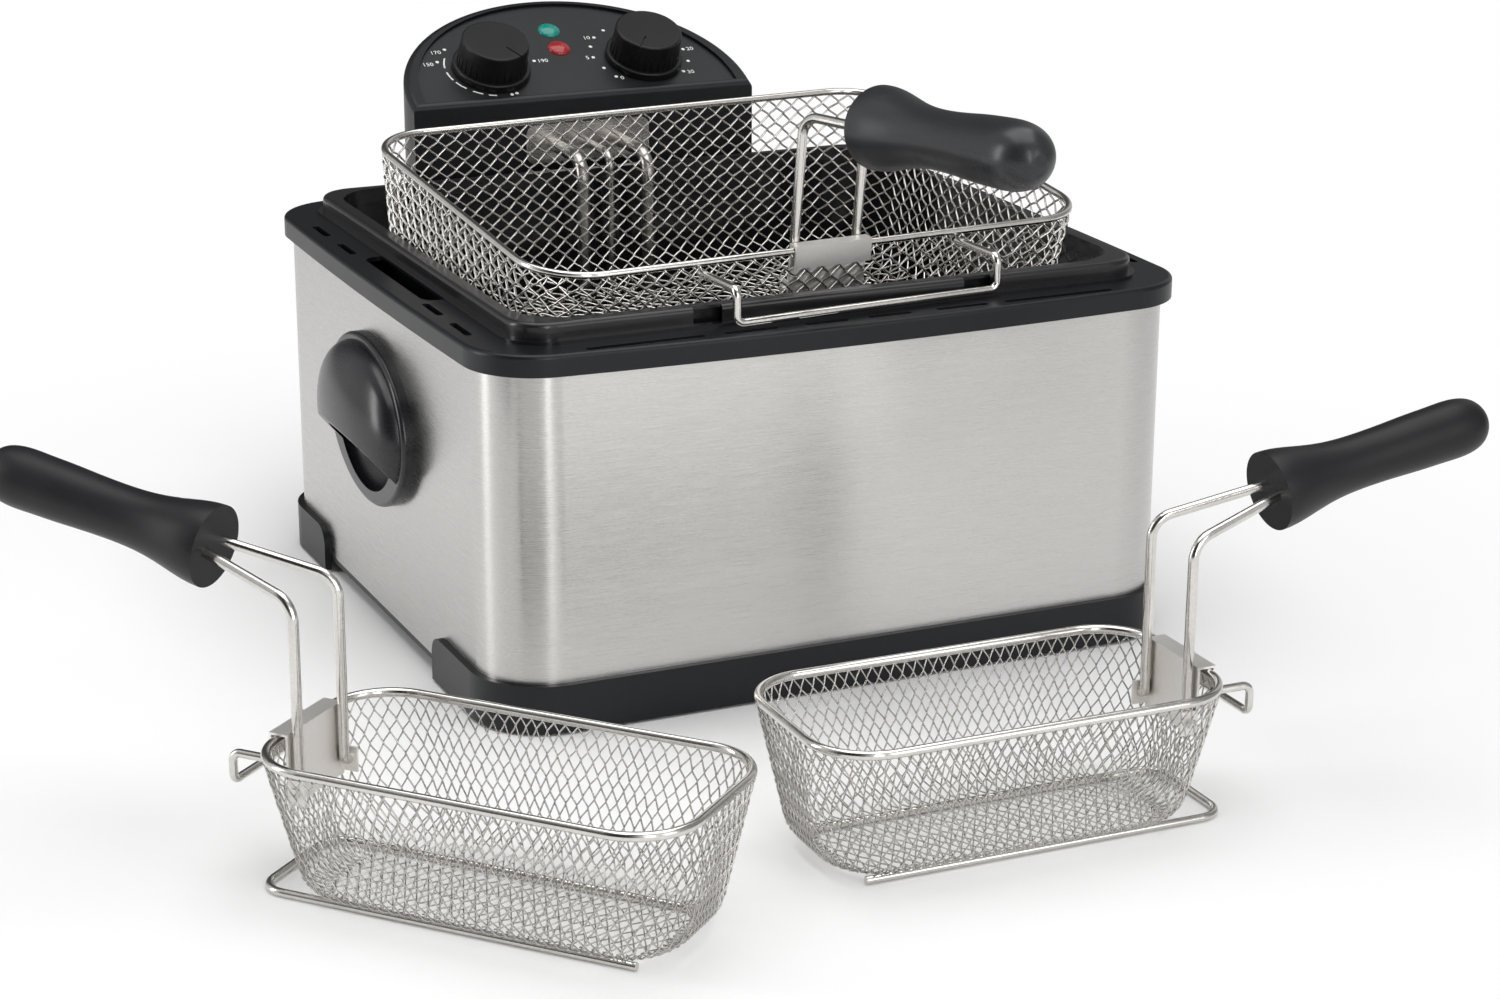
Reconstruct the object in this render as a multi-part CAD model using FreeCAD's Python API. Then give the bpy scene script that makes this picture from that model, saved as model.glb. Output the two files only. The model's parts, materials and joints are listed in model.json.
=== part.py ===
import FreeCAD, Part
import math
import os

# Sizes in millimetres and degrees. X is to the right, the front faces -Y, Z is up, the table is at Z 0.
# All places below are measured from the middle of the fryer, which stands off the middle of the whole set.
FRYER_X = 99.3
FRYER_Y = 96.8

# Steel casing
CASING_WIDTH = 393.2
CASING_DEPTH = 368.0
CASING_HEIGHT = 187.5
CASING_CORNER = 36.0
CASING_SHEET = 0.8
CASING_FLANGE = 12.0

# Base tray and feet
FOOT_HEIGHT = 8.0
FOOT_DIAMETER = 24.0
FOOT_INSET = 42.0
BASE_FLOOR = 3.0
BASE_OVERHANG = 3.8
BASE_TOP = 27.0
BASE_BOTTOM = 1.5
BASE_FRONT_END = -88.0
BASE_REAR_END = 102.0
BASE_END_RADIUS = 11.0
BASE_SCREW_INSET = 7.0
BASE_SCREW_X = 120.0

# Top frame
FRAME_OVERHANG = 3.4
FRAME_FIT = 0.3
FRAME_PLATE = 2.5
FRAME_BAND = 11.4
FRAME_EDGE = 2.2
FRAME_BOW_FRONT = 8.0
FRAME_BOW_SIDE = 3.5
FRAME_BOW_REAR = 2.0
COLLAR_WALL = 2.0
COLLAR_DROP = 16.0
SLOT_WIDTH = 4.0
SIDE_SLOT_LENGTH = 26.0
SIDE_SLOT_INSET = 4.1
SIDE_SLOT_ROWS = (110.0, 63.0, -82.0, -125.0)
FRONT_SLOT_OUT = 1.5
FRONT_SLOTS = ((18.0, 25.0), (60.0, 30.0), (117.0, 64.0))
RECESS_INSET = 5.6
RECESS_CENTRE_Y = -12.5
RECESS_LENGTH = 104.0

# Side handles
HANDLE_Y = 7.0
HANDLE_Z = 119.5
HANDLE_LENGTH = 131.0
HANDLE_HEIGHT = 93.5
HANDLE_PLATE = 7.0
HANDLE_EDGE = 2.5
HOOD_REACH = 18.5
HOOD_INSET = 4.0
HOOD_LIP_DROP = 22.0
HOOD_LIP_TILT = 50.0
HOOD_WALL = 4.0
SCOOP_DEPTH = 18.0
SCOOP_LENGTH = 98.0
SCOOP_HEIGHT = 78.0
SCOOP_WALL = 2.0
DOME_ANGLES = (0.0, 20.0, 40.0, 55.0, 68.0, 78.0, 86.0)
HANDLE_SCREW_Y = 54.0

# Oil pot
POT_INSET_X = 18.1
POT_INSET_Y = 14.5
POT_CORNER = 21.0
POT_RISE = 10.4
POT_FLANGE = 8.0
POT_INNER_CORNER = 30.0
POT_WALL = 1.6
POT_HEIGHT = 150.0
POT_TAPER = 6.0
POT_BEND = 22.0
POT_LEDGE = 3.0
POT_EDGE = 2.6
POT_CLEARANCE = 1.0
NOTCH_WIDTH = 16.0
NOTCH_DEPTH = 2.2

# Control unit
HEAD_SET_BACK = 17.5
HEAD_WIDTH = 220.0
HEAD_LENGTH = 103.0
HEAD_STRAIGHT = 8.0
HEAD_WALL = 3.0
HEAD_EDGE = 4.0
LIP_HEIGHT = 48.5
PANEL_TILT = 26.0
PANEL_WIDTH = 202.0
PANEL_LENGTH = 92.0
PANEL_STRAIGHT = 4.0
PANEL_START = 4.5
PANEL_PLATE = 2.5
PANEL_RIM = 3.0
PANEL_RIM_PLATE = 2.0
BORDER_RISE = 2.0
STEM_WIDTH = 160.0
STEM_DEPTH = 46.0
STEM_DROP = 92.0
STEM_GAP = 0.6
TONGUE_WIDTH = 120.0
TONGUE_REACH = 11.0
COVER_PLATE = 2.5
GUIDE_WIDTH = 60.0
GUIDE_HEIGHT = 70.0
SLIDE_FIT = 0.3

# Knobs and lamps
KNOB_X = 50.0
KNOB_V = 34.5
KNOB_DIAMETER = 43.0
KNOB_TOP_DIAMETER = 41.0
KNOB_HEIGHT = 21.5
KNOB_SKIRT_DIAMETER = 48.0
KNOB_SKIRT = 4.5
KNOB_GAP = 0.5
KNOB_EDGE = 1.2
KNOB_FLUTES = 32
KNOB_FLUTE_RADIUS = 1.0
KNOB_FLUTE_OUT = 0.33
KNOB_MARK_LENGTH = 12.0
KNOB_MARK_WIDTH = 0.9
TEMPERATURE_MARK = -150.0
TIMER_MARK = 145.0
SHAFT_DIAMETER = 6.0
SHAFT_FIT = 0.08
SHAFT_IN_KNOB = 15.0
SHAFT_INSIDE = 10.0
SWITCH_WIDTH = 40.0
SWITCH_LENGTH = 34.0
SWITCH_HEIGHT = 22.0
LENS_DIAMETER = 14.0
LENS_RISE = 3.0
LENS_FLANGE = 1.5
GREEN_LAMP_V = 70.0
RED_LAMP_V = 51.0
LAMP_DIAMETER = 9.0
LAMP_LENGTH = 16.0

# Power inlet and inner parts of the control unit
INLET_WIDTH = 34.0
INLET_HEIGHT = 24.0
INLET_DEPTH = 22.0
INLET_RISE = 3.0
INLET_WALL = 3.0
INLET_Z_DROP = 52.0
PIN_DIAMETER = 4.0
PIN_SPACING = 14.0
PIN_LENGTH = 16.0
SCREW_HEAD_DIAMETER = 7.0
SCREW_HEAD = 2.4
SCREW_DIAMETER = 3.4
SCREW_LENGTH = 9.0
SCREW_FIT = 0.05
COVER_SCREW_INSET = 9.0
BOSS_DIAMETER = 8.0
TERMINAL_WIDTH = 60.0
TERMINAL_DEPTH = 16.0
TERMINAL_HEIGHT = 14.0
CUTOUT_DIAMETER = 16.0
CUTOUT_HEIGHT = 10.0
SAFETY_SWITCH_WIDTH = 20.0
SAFETY_SWITCH_DEPTH = 12.0
SAFETY_SWITCH_HEIGHT = 14.0
SAFETY_SWITCH_DROP = 55.0
CUTOUT_X = -86.0
CUTOUT_BACK = 35.0

# Heating element
ELEMENT_DIAMETER = 8.0
ELEMENT_SPACING = 42.0
ELEMENT_EXIT = 21.0
ELEMENT_CLEARANCE = 14.0
ELEMENT_BACK_GAP = 14.0
ELEMENT_BEND = 14.0
ELEMENT_OUTER_X = 130.0
ELEMENT_INNER_X = 55.0
ELEMENT_REAR_Y = 104.0
ELEMENT_MIDDLE_Y = 55.0
ELEMENT_FRONT_Y = -112.0
ELEMENT_COLD_END = 14.0
BRACKET_PLATE_WIDTH = 80.0
BRACKET_PLATE_LOW = 10.5
BRACKET_PLATE_HEIGHT = 24.0
BRACKET_PLATE_SHEET = 1.5
BRACKET_PLATE_CORNER = 6.0
SENSOR_DIAMETER = 5.0
SENSOR_FORWARD = 37.0
SENSOR_LOW = 110.0
SENSOR_BEND = 9.0

# Sheet and wire shared by the baskets
BASKET_WALL = 1.0
BASKET_EDGE = 0.5
TOUCH = 0.05
BRACKET_SHEET = 1.2
BRACKET_DROP = 32.0
BRACKET_LIP = 9.0
PIVOT_DROP = 24.0
PIVOT_GAP = 0.4
EAR_REACH = 9.0
EAR_HALF_HEIGHT = 6.0
PIN_FIT = 0.06
PIN_END = 1.5
WIRE_BEND = 12.0
PIN_BEND = 3.0
GRIP_WIRE_SPACING = 16.0
GRIP_WIRE_DEPTH = 40.0
GRIP_WIRE_BEND = 6.0
GRIP_STEPS = 8
GRIP_END_ANGLES = (30.0, 50.0, 65.0, 78.0)

# Large basket, hung on the front rim of the pot
LARGE_WIDTH = 332.0
LARGE_DEPTH = 240.0
LARGE_CORNER = 36.0
LARGE_HEIGHT = 100.0
LARGE_TAPER = 8.0
LARGE_BEND = 24.0
LARGE_RIM_WIRE = 4.0
LARGE_X = -1.0
LARGE_Y = -21.7
LARGE_Z = 242.8
LARGE_TILT = 7.5
LARGE_YAW = 4.0
LARGE_WIRE = 5.2
LARGE_WIRE_SPACING = 37.0
LARGE_WIRE_RISE = 71.0
LARGE_GRIP_START = 157.0
LARGE_GRIP_START_RISE = 77.0
LARGE_GRIP_LENGTH = 145.0
LARGE_GRIP_SLOPE = 11.5
LARGE_GRIP_FLARE = 43.0
LARGE_GRIP_WAIST = 29.0
LARGE_GRIP_BULGE = 34.0
LARGE_GRIP_FLARE_LENGTH = 30.0
LARGE_HOOK_SPAN = 154.0
LARGE_HOOK_WIRE = 4.4
LARGE_HOOK_GAP = 0.1
LARGE_HOOK_RISE = 10.9
LARGE_HOOK_STAND = 1.4
LARGE_HOOK_BEND = 4.0

# Small baskets, standing beside the fryer
SMALL_WIDTH = 110.0
SMALL_DEPTH = 214.0
SMALL_CORNER = 32.0
SMALL_HEIGHT = 68.0
SMALL_TAPER = 12.0
SMALL_BEND = 15.0
SMALL_RIM_WIRE = 4.5
SMALL_WIRE = 5.0
SMALL_WIRE_SPACING = 38.0
SMALL_WIRE_RISE = 65.0
SMALL_GRIP_START = 148.0
SMALL_GRIP_START_RISE = 78.0
SMALL_GRIP_LENGTH = 124.0
SMALL_GRIP_SLOPE = 10.2
SMALL_GRIP_FLARE = 39.0
SMALL_GRIP_WAIST = 26.0
SMALL_GRIP_BULGE = 28.5
SMALL_GRIP_FLARE_LENGTH = 26.0
SMALL_HOOK_SPAN = 52.0
SMALL_HOOK_WIRE = 4.0
SMALL_HOOK_LEVEL = 8.0
SMALL_HOOK_REACH = 126.0
SMALL_HOOK_DROP = 14.0
SMALL_HOOK_BEND = 4.0
SMALL_FOOT_WIRE = 4.0
SMALL_FOOT_SPACING = 62.0
SMALL_FOOT_FRONT = 112.0
SMALL_FOOT_BACK = 78.0
SMALL_FOOT_BEND = 12.0
LEFT_X = -260.6
LEFT_Y = -369.5
LEFT_TURN = 131.2
RIGHT_X = -25.6
RIGHT_Y = -379.7
RIGHT_TURN = -0.5

# Levels and fits that follow from the sizes
V = FreeCAD.Vector
X_AXIS = V(1, 0, 0)
Y_AXIS = V(0, 1, 0)
Z_AXIS = V(0, 0, 1)
CUT_MARGIN = 1.0
SAME = 0.01
QUARTER_TURN = 90.0
CASING_BOTTOM = FOOT_HEIGHT + BASE_FLOOR
FRAME_TOP = CASING_BOTTOM + CASING_HEIGHT + FRAME_PLATE
FRAME_BOTTOM = FRAME_TOP - FRAME_BAND
FRAME_WALL = FRAME_OVERHANG - FRAME_FIT
SIDE_SLOT_X = CASING_WIDTH / 2 - SIDE_SLOT_INSET
FRONT_SLOT_Y = -CASING_DEPTH / 2 - FRONT_SLOT_OUT
RECESS_EDGE_X = CASING_WIDTH / 2 - RECESS_INSET
POT_WIDTH = CASING_WIDTH - 2 * POT_INSET_X
POT_DEPTH = CASING_DEPTH - 2 * POT_INSET_Y
POT_TOP = FRAME_TOP + POT_RISE
POT_INNER_WIDTH = POT_WIDTH - 2 * POT_FLANGE
POT_INNER_DEPTH = POT_DEPTH - 2 * POT_FLANGE
POT_FLOOR = POT_TOP - POT_HEIGHT
HEAD_FRONT = POT_DEPTH / 2 + HEAD_SET_BACK
SLOPE = math.radians(PANEL_TILT)
HEAD_DEPTH = HEAD_LENGTH * math.cos(SLOPE)
STEM_FRONT = CASING_DEPTH / 2 + FRAME_OVERHANG + FRAME_BOW_REAR + STEM_GAP
STEM_BACK = STEM_FRONT + STEM_DEPTH
STEM_BOTTOM = FRAME_TOP - STEM_DROP
INLET_Z = FRAME_TOP - INLET_Z_DROP
INLET_BACK = STEM_BACK + COVER_PLATE + INLET_RISE
PANEL_ORIGIN = V(0, HEAD_FRONT, FRAME_TOP + LIP_HEIGHT)
PANEL_PLACE = FreeCAD.Placement(PANEL_ORIGIN, FreeCAD.Rotation(X_AXIS, PANEL_TILT))

os.makedirs("parts", exist_ok=True)


def save(shape, name):
    moved = shape.copy()
    moved.translate(V(FRYER_X, FRYER_Y, 0))
    moved.exportStep("parts/" + name + ".step")


def placed(shape, placement):
    moved = shape.copy()
    moved.Placement = placement.multiply(moved.Placement)
    return moved


def box(low, high):
    return Part.makeBox(high[0] - low[0], high[1] - low[1], high[2] - low[2], V(*low))


def mirrored(shape):
    return shape.mirror(V(0, 0, 0), X_AXIS)


def fused(shapes):
    return shapes[0].fuse(shapes[1:]).removeSplitter()


def one_solid(shape):
    return max(shape.Solids, key=lambda solid: solid.Volume)


def rounded_wire(width, depth, corner, z):
    x = width / 2
    y = depth / 2
    s = corner * (1 - math.sqrt(0.5))
    edges = [
        Part.makeLine(V(-x + corner, -y, z), V(x - corner, -y, z)),
        Part.Arc(V(x - corner, -y, z), V(x - s, -y + s, z), V(x, -y + corner, z)).toShape(),
        Part.makeLine(V(x, -y + corner, z), V(x, y - corner, z)),
        Part.Arc(V(x, y - corner, z), V(x - s, y - s, z), V(x - corner, y, z)).toShape(),
        Part.makeLine(V(x - corner, y, z), V(-x + corner, y, z)),
        Part.Arc(V(-x + corner, y, z), V(-x + s, y - s, z), V(-x, y - corner, z)).toShape(),
        Part.makeLine(V(-x, y - corner, z), V(-x, -y + corner, z)),
        Part.Arc(V(-x, -y + corner, z), V(-x + s, -y + s, z), V(-x + corner, -y, z)).toShape(),
    ]
    return Part.Wire(edges)


def prism(width, depth, corner, low, high):
    return Part.Face(rounded_wire(width, depth, corner, low)).extrude(V(0, 0, high - low))


def level_edges(shape, z):
    return [e for e in shape.Edges if abs(e.BoundBox.ZMin - z) < SAME and abs(e.BoundBox.ZMax - z) < SAME]


def filled_tub(width, depth, corner, top, floor, taper, bend):
    upper = rounded_wire(width, depth, corner, top)
    lower = rounded_wire(width - 2 * taper, depth - 2 * taper, corner, floor)
    solid = Part.makeLoft([upper, lower], True, True)
    return solid.makeFillet(bend, level_edges(solid, floor))


def open_tub(width, depth, corner, top, floor, taper, bend, wall):
    outer = filled_tub(width, depth, corner, top, floor, taper, bend)
    inner_width = width - 2 * wall
    inner_depth = depth - 2 * wall
    inner = filled_tub(inner_width, inner_depth, corner - wall, top, floor + wall, taper, bend - wall)
    return outer.cut(inner)


def bowed_prism(width, depth, corner, low, high):
    x = width / 2
    y = depth / 2
    front = Part.Arc(V(-x, -y, low), V(0, -y - FRAME_BOW_FRONT, low), V(x, -y, low)).toShape()
    right = Part.Arc(V(x, -y, low), V(x + FRAME_BOW_SIDE, 0, low), V(x, y, low)).toShape()
    rear = Part.Arc(V(x, y, low), V(0, y + FRAME_BOW_REAR, low), V(-x, y, low)).toShape()
    left = Part.Arc(V(-x, y, low), V(-x - FRAME_BOW_SIDE, 0, low), V(-x, -y, low)).toShape()
    solid = Part.Face(Part.Wire([front, right, rear, left])).extrude(V(0, 0, high - low))
    upright = [e for e in solid.Edges if e.BoundBox.ZLength > (high - low) / 2]
    return solid.makeFillet(corner, upright)


def bent_path(points, bends):
    edges = []
    start = points[0]
    for i in range(1, len(points) - 1):
        corner = points[i]
        back = (points[i - 1] - corner).normalize()
        ahead = (points[i + 1] - corner).normalize()
        half_turn = (math.pi - back.getAngle(ahead)) / 2
        reach = bends[i - 1] * math.tan(half_turn)
        first = corner + back * reach
        last = corner + ahead * reach
        inward = (back + ahead).normalize()
        middle = corner + inward * (bends[i - 1] / math.cos(half_turn) - bends[i - 1])
        edges.append(Part.makeLine(start, first))
        edges.append(Part.Arc(first, middle, last).toShape())
        start = last
    edges.append(Part.makeLine(start, points[-1]))
    return Part.Wire(edges)


def rod(points, bends, diameter):
    path = bent_path(points, bends)
    ring = Part.makeCircle(diameter / 2, points[0], points[1] - points[0])
    return path.makePipeShell([Part.Wire([ring])], True, False)


def wire_ring(width, depth, corner, diameter, z):
    path = rounded_wire(width, depth, corner, z)
    ring = Part.makeCircle(diameter / 2, V(0, -depth / 2, z), X_AXIS)
    straight = Part.makeLine(V(0, -depth / 2, z), V(width / 2 - corner, -depth / 2, z))
    rest = Part.makeLine(V(corner - width / 2, -depth / 2, z), V(0, -depth / 2, z))
    loop = Part.Wire([straight] + path.Edges[1:] + [rest])
    return loop.makePipeShell([Part.Wire([ring])], True, False)


def ellipsoid(centre, reach_x, reach_y, reach_z):
    matrix = FreeCAD.Matrix()
    matrix.scale(reach_x, reach_y, reach_z)
    shape = Part.makeSphere(1.0).transformGeometry(matrix)
    shape.translate(centre)
    return shape


def oval_wire(centre, length, height):
    ring = Part.Wire([Part.Ellipse(V(0, 0, 0), length / 2, height / 2).toShape()])
    ring.Placement = FreeCAD.Placement(centre, FreeCAD.Rotation(Y_AXIS, Z_AXIS, X_AXIS, "XYZ"))
    return ring


def oval_dome(centre, length, height, reach):
    rings = []
    for degrees in DOME_ANGLES:
        angle = math.radians(degrees)
        at = centre + V(reach * math.sin(angle), 0, 0)
        rings.append(oval_wire(at, length * math.cos(angle), height * math.cos(angle)))
    return Part.makeLoft(rings, True, False)


def oval_prism(centre, length, height, reach):
    return Part.Face(oval_wire(centre, length, height)).extrude(V(reach, 0, 0))


def screw(tip, axis):
    head = Part.makeCylinder(SCREW_HEAD_DIAMETER / 2, SCREW_HEAD, tip, axis * -1)
    shank = Part.makeCylinder(SCREW_DIAMETER / 2, SCREW_LENGTH, tip, axis)
    return head.fuse(shank).removeSplitter()


def screw_hole(tip, axis):
    radius = SCREW_DIAMETER / 2 + SCREW_FIT
    return Part.makeCylinder(radius, SCREW_LENGTH + CUT_MARGIN, tip - axis * CUT_MARGIN, axis)


def corner_points(x, y, z):
    return [V(sx * x, sy * y, z) for sx in (-1, 1) for sy in (-1, 1)]


# Base tray with its front and rear bands, feet and screws
def base_screw_points():
    y = CASING_DEPTH / 2 - BASE_SCREW_INSET
    return corner_points(BASE_SCREW_X, y, FOOT_HEIGHT)


def base_tray():
    width = CASING_WIDTH + 2 * BASE_OVERHANG
    depth = CASING_DEPTH + 2 * BASE_OVERHANG
    corner = CASING_CORNER + BASE_OVERHANG
    band = prism(width, depth, corner, BASE_BOTTOM, BASE_TOP)
    inside = prism(CASING_WIDTH, CASING_DEPTH, CASING_CORNER, BASE_BOTTOM, BASE_TOP)
    band = band.cut(inside)
    for side in (-1, 1):
        near = side * (CASING_WIDTH / 2 - CUT_MARGIN)
        far = side * (width / 2 + CUT_MARGIN)
        window = box((min(near, far), BASE_FRONT_END, BASE_BOTTOM - CUT_MARGIN),
                     (max(near, far), BASE_REAR_END, BASE_TOP + CUT_MARGIN))
        band = band.cut(window)
    upper = level_edges(band, BASE_TOP)
    ends = [e for e in upper if e.BoundBox.YLength < SAME and e.BoundBox.XLength < 2 * BASE_OVERHANG]
    band = band.makeFillet(BASE_END_RADIUS, ends)
    floor = prism(CASING_WIDTH, CASING_DEPTH, CASING_CORNER, FOOT_HEIGHT, CASING_BOTTOM)
    tray = fused([floor, band])
    for point in base_screw_points():
        tray = tray.cut(screw_hole(point, Z_AXIS))
    return tray


def rubber_feet():
    x = CASING_WIDTH / 2 - FOOT_INSET
    y = CASING_DEPTH / 2 - FOOT_INSET
    feet = [Part.makeCylinder(FOOT_DIAMETER / 2, FOOT_HEIGHT, p) for p in corner_points(x, y, 0)]
    return Part.makeCompound(feet)


save(base_tray(), "base_tray")
save(rubber_feet(), "rubber_feet")
save(Part.makeCompound([screw(p, Z_AXIS) for p in base_screw_points()]), "base_screws")


# Side handles: an oval plate with a domed hood, its lip sloping up outwards, and a scoop behind it
def scoop_shape(grow):
    centre = V(-CASING_WIDTH / 2 - HANDLE_PLATE, HANDLE_Y, HANDLE_Z)
    return oval_dome(centre, SCOOP_LENGTH + 2 * grow, SCOOP_HEIGHT + 2 * grow, SCOOP_DEPTH + grow)


def handle_screw_points():
    return [V(CASING_SHEET - CASING_WIDTH / 2, HANDLE_Y + s * HANDLE_SCREW_Y, HANDLE_Z) for s in (-1, 1)]


def left_side_handle():
    wall = -CASING_WIDTH / 2
    face = wall - HANDLE_PLATE
    plate = oval_prism(V(wall, HANDLE_Y, HANDLE_Z), HANDLE_LENGTH, HANDLE_HEIGHT, -HANDLE_PLATE)
    outline = [e for e in plate.Edges if abs(e.BoundBox.XMin - face) < SAME and e.BoundBox.XLength < SAME]
    plate = plate.makeFillet(HANDLE_EDGE, outline)
    lip = HANDLE_Z - HOOD_LIP_DROP
    centre = V(face, HANDLE_Y, HANDLE_Z)
    hood = oval_dome(centre, HANDLE_LENGTH - 2 * HOOD_INSET, HANDLE_HEIGHT - 2 * HOOD_INSET, -HOOD_REACH)
    hollow = oval_dome(centre, SCOOP_LENGTH, SCOOP_HEIGHT, HOOD_WALL - HOOD_REACH)
    front = HANDLE_Y - HANDLE_LENGTH
    rear = HANDLE_Y + HANDLE_LENGTH
    above = box((face - HANDLE_LENGTH, front, lip), (face + HANDLE_LENGTH, rear, lip + 2 * HANDLE_LENGTH))
    above.rotate(V(face, HANDLE_Y, lip), Y_AXIS, HOOD_LIP_TILT)
    behind = box((wall - CASING_SHEET, front, 0), (0, rear, FRAME_TOP))
    cup = scoop_shape(SCOOP_WALL).common(behind)
    handle = fused([plate, hood.common(above), cup])
    handle = handle.cut([scoop_shape(0.0), hollow.common(above)])
    for point in handle_screw_points():
        handle = handle.cut(Part.makeCylinder(SCREW_DIAMETER / 2, SCREW_LENGTH, point, X_AXIS * -1))
    return one_solid(handle)


def handle_screws():
    shapes = [screw(p, X_AXIS * -1) for p in handle_screw_points()]
    return Part.makeCompound(shapes + [mirrored(s) for s in shapes])


HANDLE = left_side_handle()
save(HANDLE, "left_side_handle")
save(mirrored(HANDLE), "right_side_handle")
save(handle_screws(), "handle_screws")


# Outer casing: an open sleeve with a foot flange and openings for the scoops
def outer_casing():
    top = CASING_BOTTOM + CASING_HEIGHT
    sleeve = prism(CASING_WIDTH, CASING_DEPTH, CASING_CORNER, CASING_BOTTOM, top)
    inner_width = CASING_WIDTH - 2 * CASING_SHEET
    inner_depth = CASING_DEPTH - 2 * CASING_SHEET
    inner_corner = CASING_CORNER - CASING_SHEET
    sleeve = sleeve.cut(prism(inner_width, inner_depth, inner_corner, CASING_BOTTOM + CASING_SHEET, top))
    open_width = CASING_WIDTH - 2 * CASING_FLANGE
    open_depth = CASING_DEPTH - 2 * CASING_FLANGE
    sleeve = sleeve.cut(prism(open_width, open_depth, CASING_CORNER - CASING_FLANGE, CASING_BOTTOM, top))
    centre = V(-CASING_WIDTH / 2 - CUT_MARGIN, HANDLE_Y, HANDLE_Z)
    hole = oval_prism(centre, SCOOP_LENGTH, SCOOP_HEIGHT, CASING_FLANGE)
    sleeve = sleeve.cut([hole, mirrored(hole)])
    holes = [screw_hole(p, Z_AXIS) for p in base_screw_points()]
    for point in handle_screw_points():
        hole = screw_hole(point, X_AXIS * -1)
        holes = holes + [hole, mirrored(hole)]
    return sleeve.cut(holes)


save(outer_casing(), "outer_casing")


# Top frame: bowed band, top plate, collar round the pot, air slots and lifting recesses
def slot(x, y, length_x, length_y):
    width = min(length_x, length_y)
    low = FRAME_TOP - 2 * FRAME_PLATE
    shape = prism(length_x, length_y, width / 2 - TOUCH, low, FRAME_TOP + CUT_MARGIN)
    shape.translate(V(x, y, 0))
    return shape


def top_frame():
    width = CASING_WIDTH + 2 * FRAME_OVERHANG
    depth = CASING_DEPTH + 2 * FRAME_OVERHANG
    corner = CASING_CORNER + FRAME_OVERHANG
    frame = bowed_prism(width, depth, corner, FRAME_BOTTOM, FRAME_TOP)
    frame = frame.makeFillet(FRAME_EDGE, level_edges(frame, FRAME_TOP))
    cavity = bowed_prism(width - 2 * FRAME_WALL, depth - 2 * FRAME_WALL, corner - FRAME_WALL,
                         FRAME_BOTTOM, FRAME_TOP - FRAME_PLATE)
    frame = frame.cut(cavity)
    open_width = POT_INNER_WIDTH + 2 * POT_WALL + 2 * POT_CLEARANCE
    open_depth = POT_INNER_DEPTH + 2 * POT_WALL + 2 * POT_CLEARANCE
    collar_low = FRAME_TOP - COLLAR_DROP
    collar = prism(open_width + 2 * COLLAR_WALL, open_depth + 2 * COLLAR_WALL,
                   POT_INNER_CORNER + COLLAR_WALL, collar_low, FRAME_TOP)
    opening = prism(open_width, open_depth, POT_INNER_CORNER, collar_low - CUT_MARGIN, FRAME_TOP + CUT_MARGIN)
    frame = fused([frame, collar]).cut(opening)
    recess_inner = open_width / 2 + COLLAR_WALL
    recess_x = (RECESS_EDGE_X + recess_inner) / 2
    recess_width = RECESS_EDGE_X - recess_inner
    cuts = []
    for side in (-1, 1):
        cuts += [slot(side * SIDE_SLOT_X, y, SLOT_WIDTH, SIDE_SLOT_LENGTH) for y in SIDE_SLOT_ROWS]
        cuts += [slot(side * x, FRONT_SLOT_Y, length, SLOT_WIDTH) for x, length in FRONT_SLOTS]
        cuts.append(slot(side * recess_x, RECESS_CENTRE_Y, recess_width, RECESS_LENGTH))
    return frame.cut(cuts)


save(top_frame(), "top_frame")


# Oil pot: tapered tub, flat flange, turned-down rim with a ledge, notches for the basket hook
def oil_pot():
    tub = open_tub(POT_INNER_WIDTH + 2 * POT_WALL, POT_INNER_DEPTH + 2 * POT_WALL, POT_INNER_CORNER,
                   POT_TOP, POT_FLOOR, POT_TAPER, POT_BEND, POT_WALL)
    rim = prism(POT_WIDTH, POT_DEPTH, POT_CORNER, FRAME_TOP, POT_TOP)
    rim = rim.makeFillet(POT_EDGE, level_edges(rim, POT_TOP))
    under = prism(POT_WIDTH - 2 * POT_WALL, POT_DEPTH - 2 * POT_WALL, POT_CORNER - POT_WALL,
                  FRAME_TOP, POT_TOP - POT_WALL)
    rim = rim.cut(under)
    for side in (-1, 1):
        x = side * LARGE_HOOK_SPAN / 2 + LARGE_X - LARGE_Y * math.sin(math.radians(LARGE_YAW))
        notch = box((x - NOTCH_WIDTH / 2, -POT_DEPTH / 2 - CUT_MARGIN, FRAME_TOP),
                    (x + NOTCH_WIDTH / 2, NOTCH_DEPTH - POT_DEPTH / 2, POT_TOP + CUT_MARGIN))
        rim = rim.cut(notch)
    ledge = prism(POT_WIDTH + 2 * POT_LEDGE, POT_DEPTH + 2 * POT_LEDGE, POT_CORNER + POT_LEDGE,
                  FRAME_TOP, FRAME_TOP + POT_WALL)
    ledge = ledge.cut(prism(POT_WIDTH - 2 * POT_WALL, POT_DEPTH - 2 * POT_WALL, POT_CORNER - POT_WALL,
                            FRAME_TOP, FRAME_TOP + POT_WALL))
    rim = fused([rim, ledge])
    mouth = filled_tub(POT_INNER_WIDTH, POT_INNER_DEPTH, POT_INNER_CORNER - POT_WALL, POT_TOP,
                       POT_FLOOR + POT_WALL, POT_TAPER, POT_BEND - POT_WALL)
    return one_solid(fused([rim.cut(mouth), tub]))


save(oil_pot(), "oil_pot")


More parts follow.
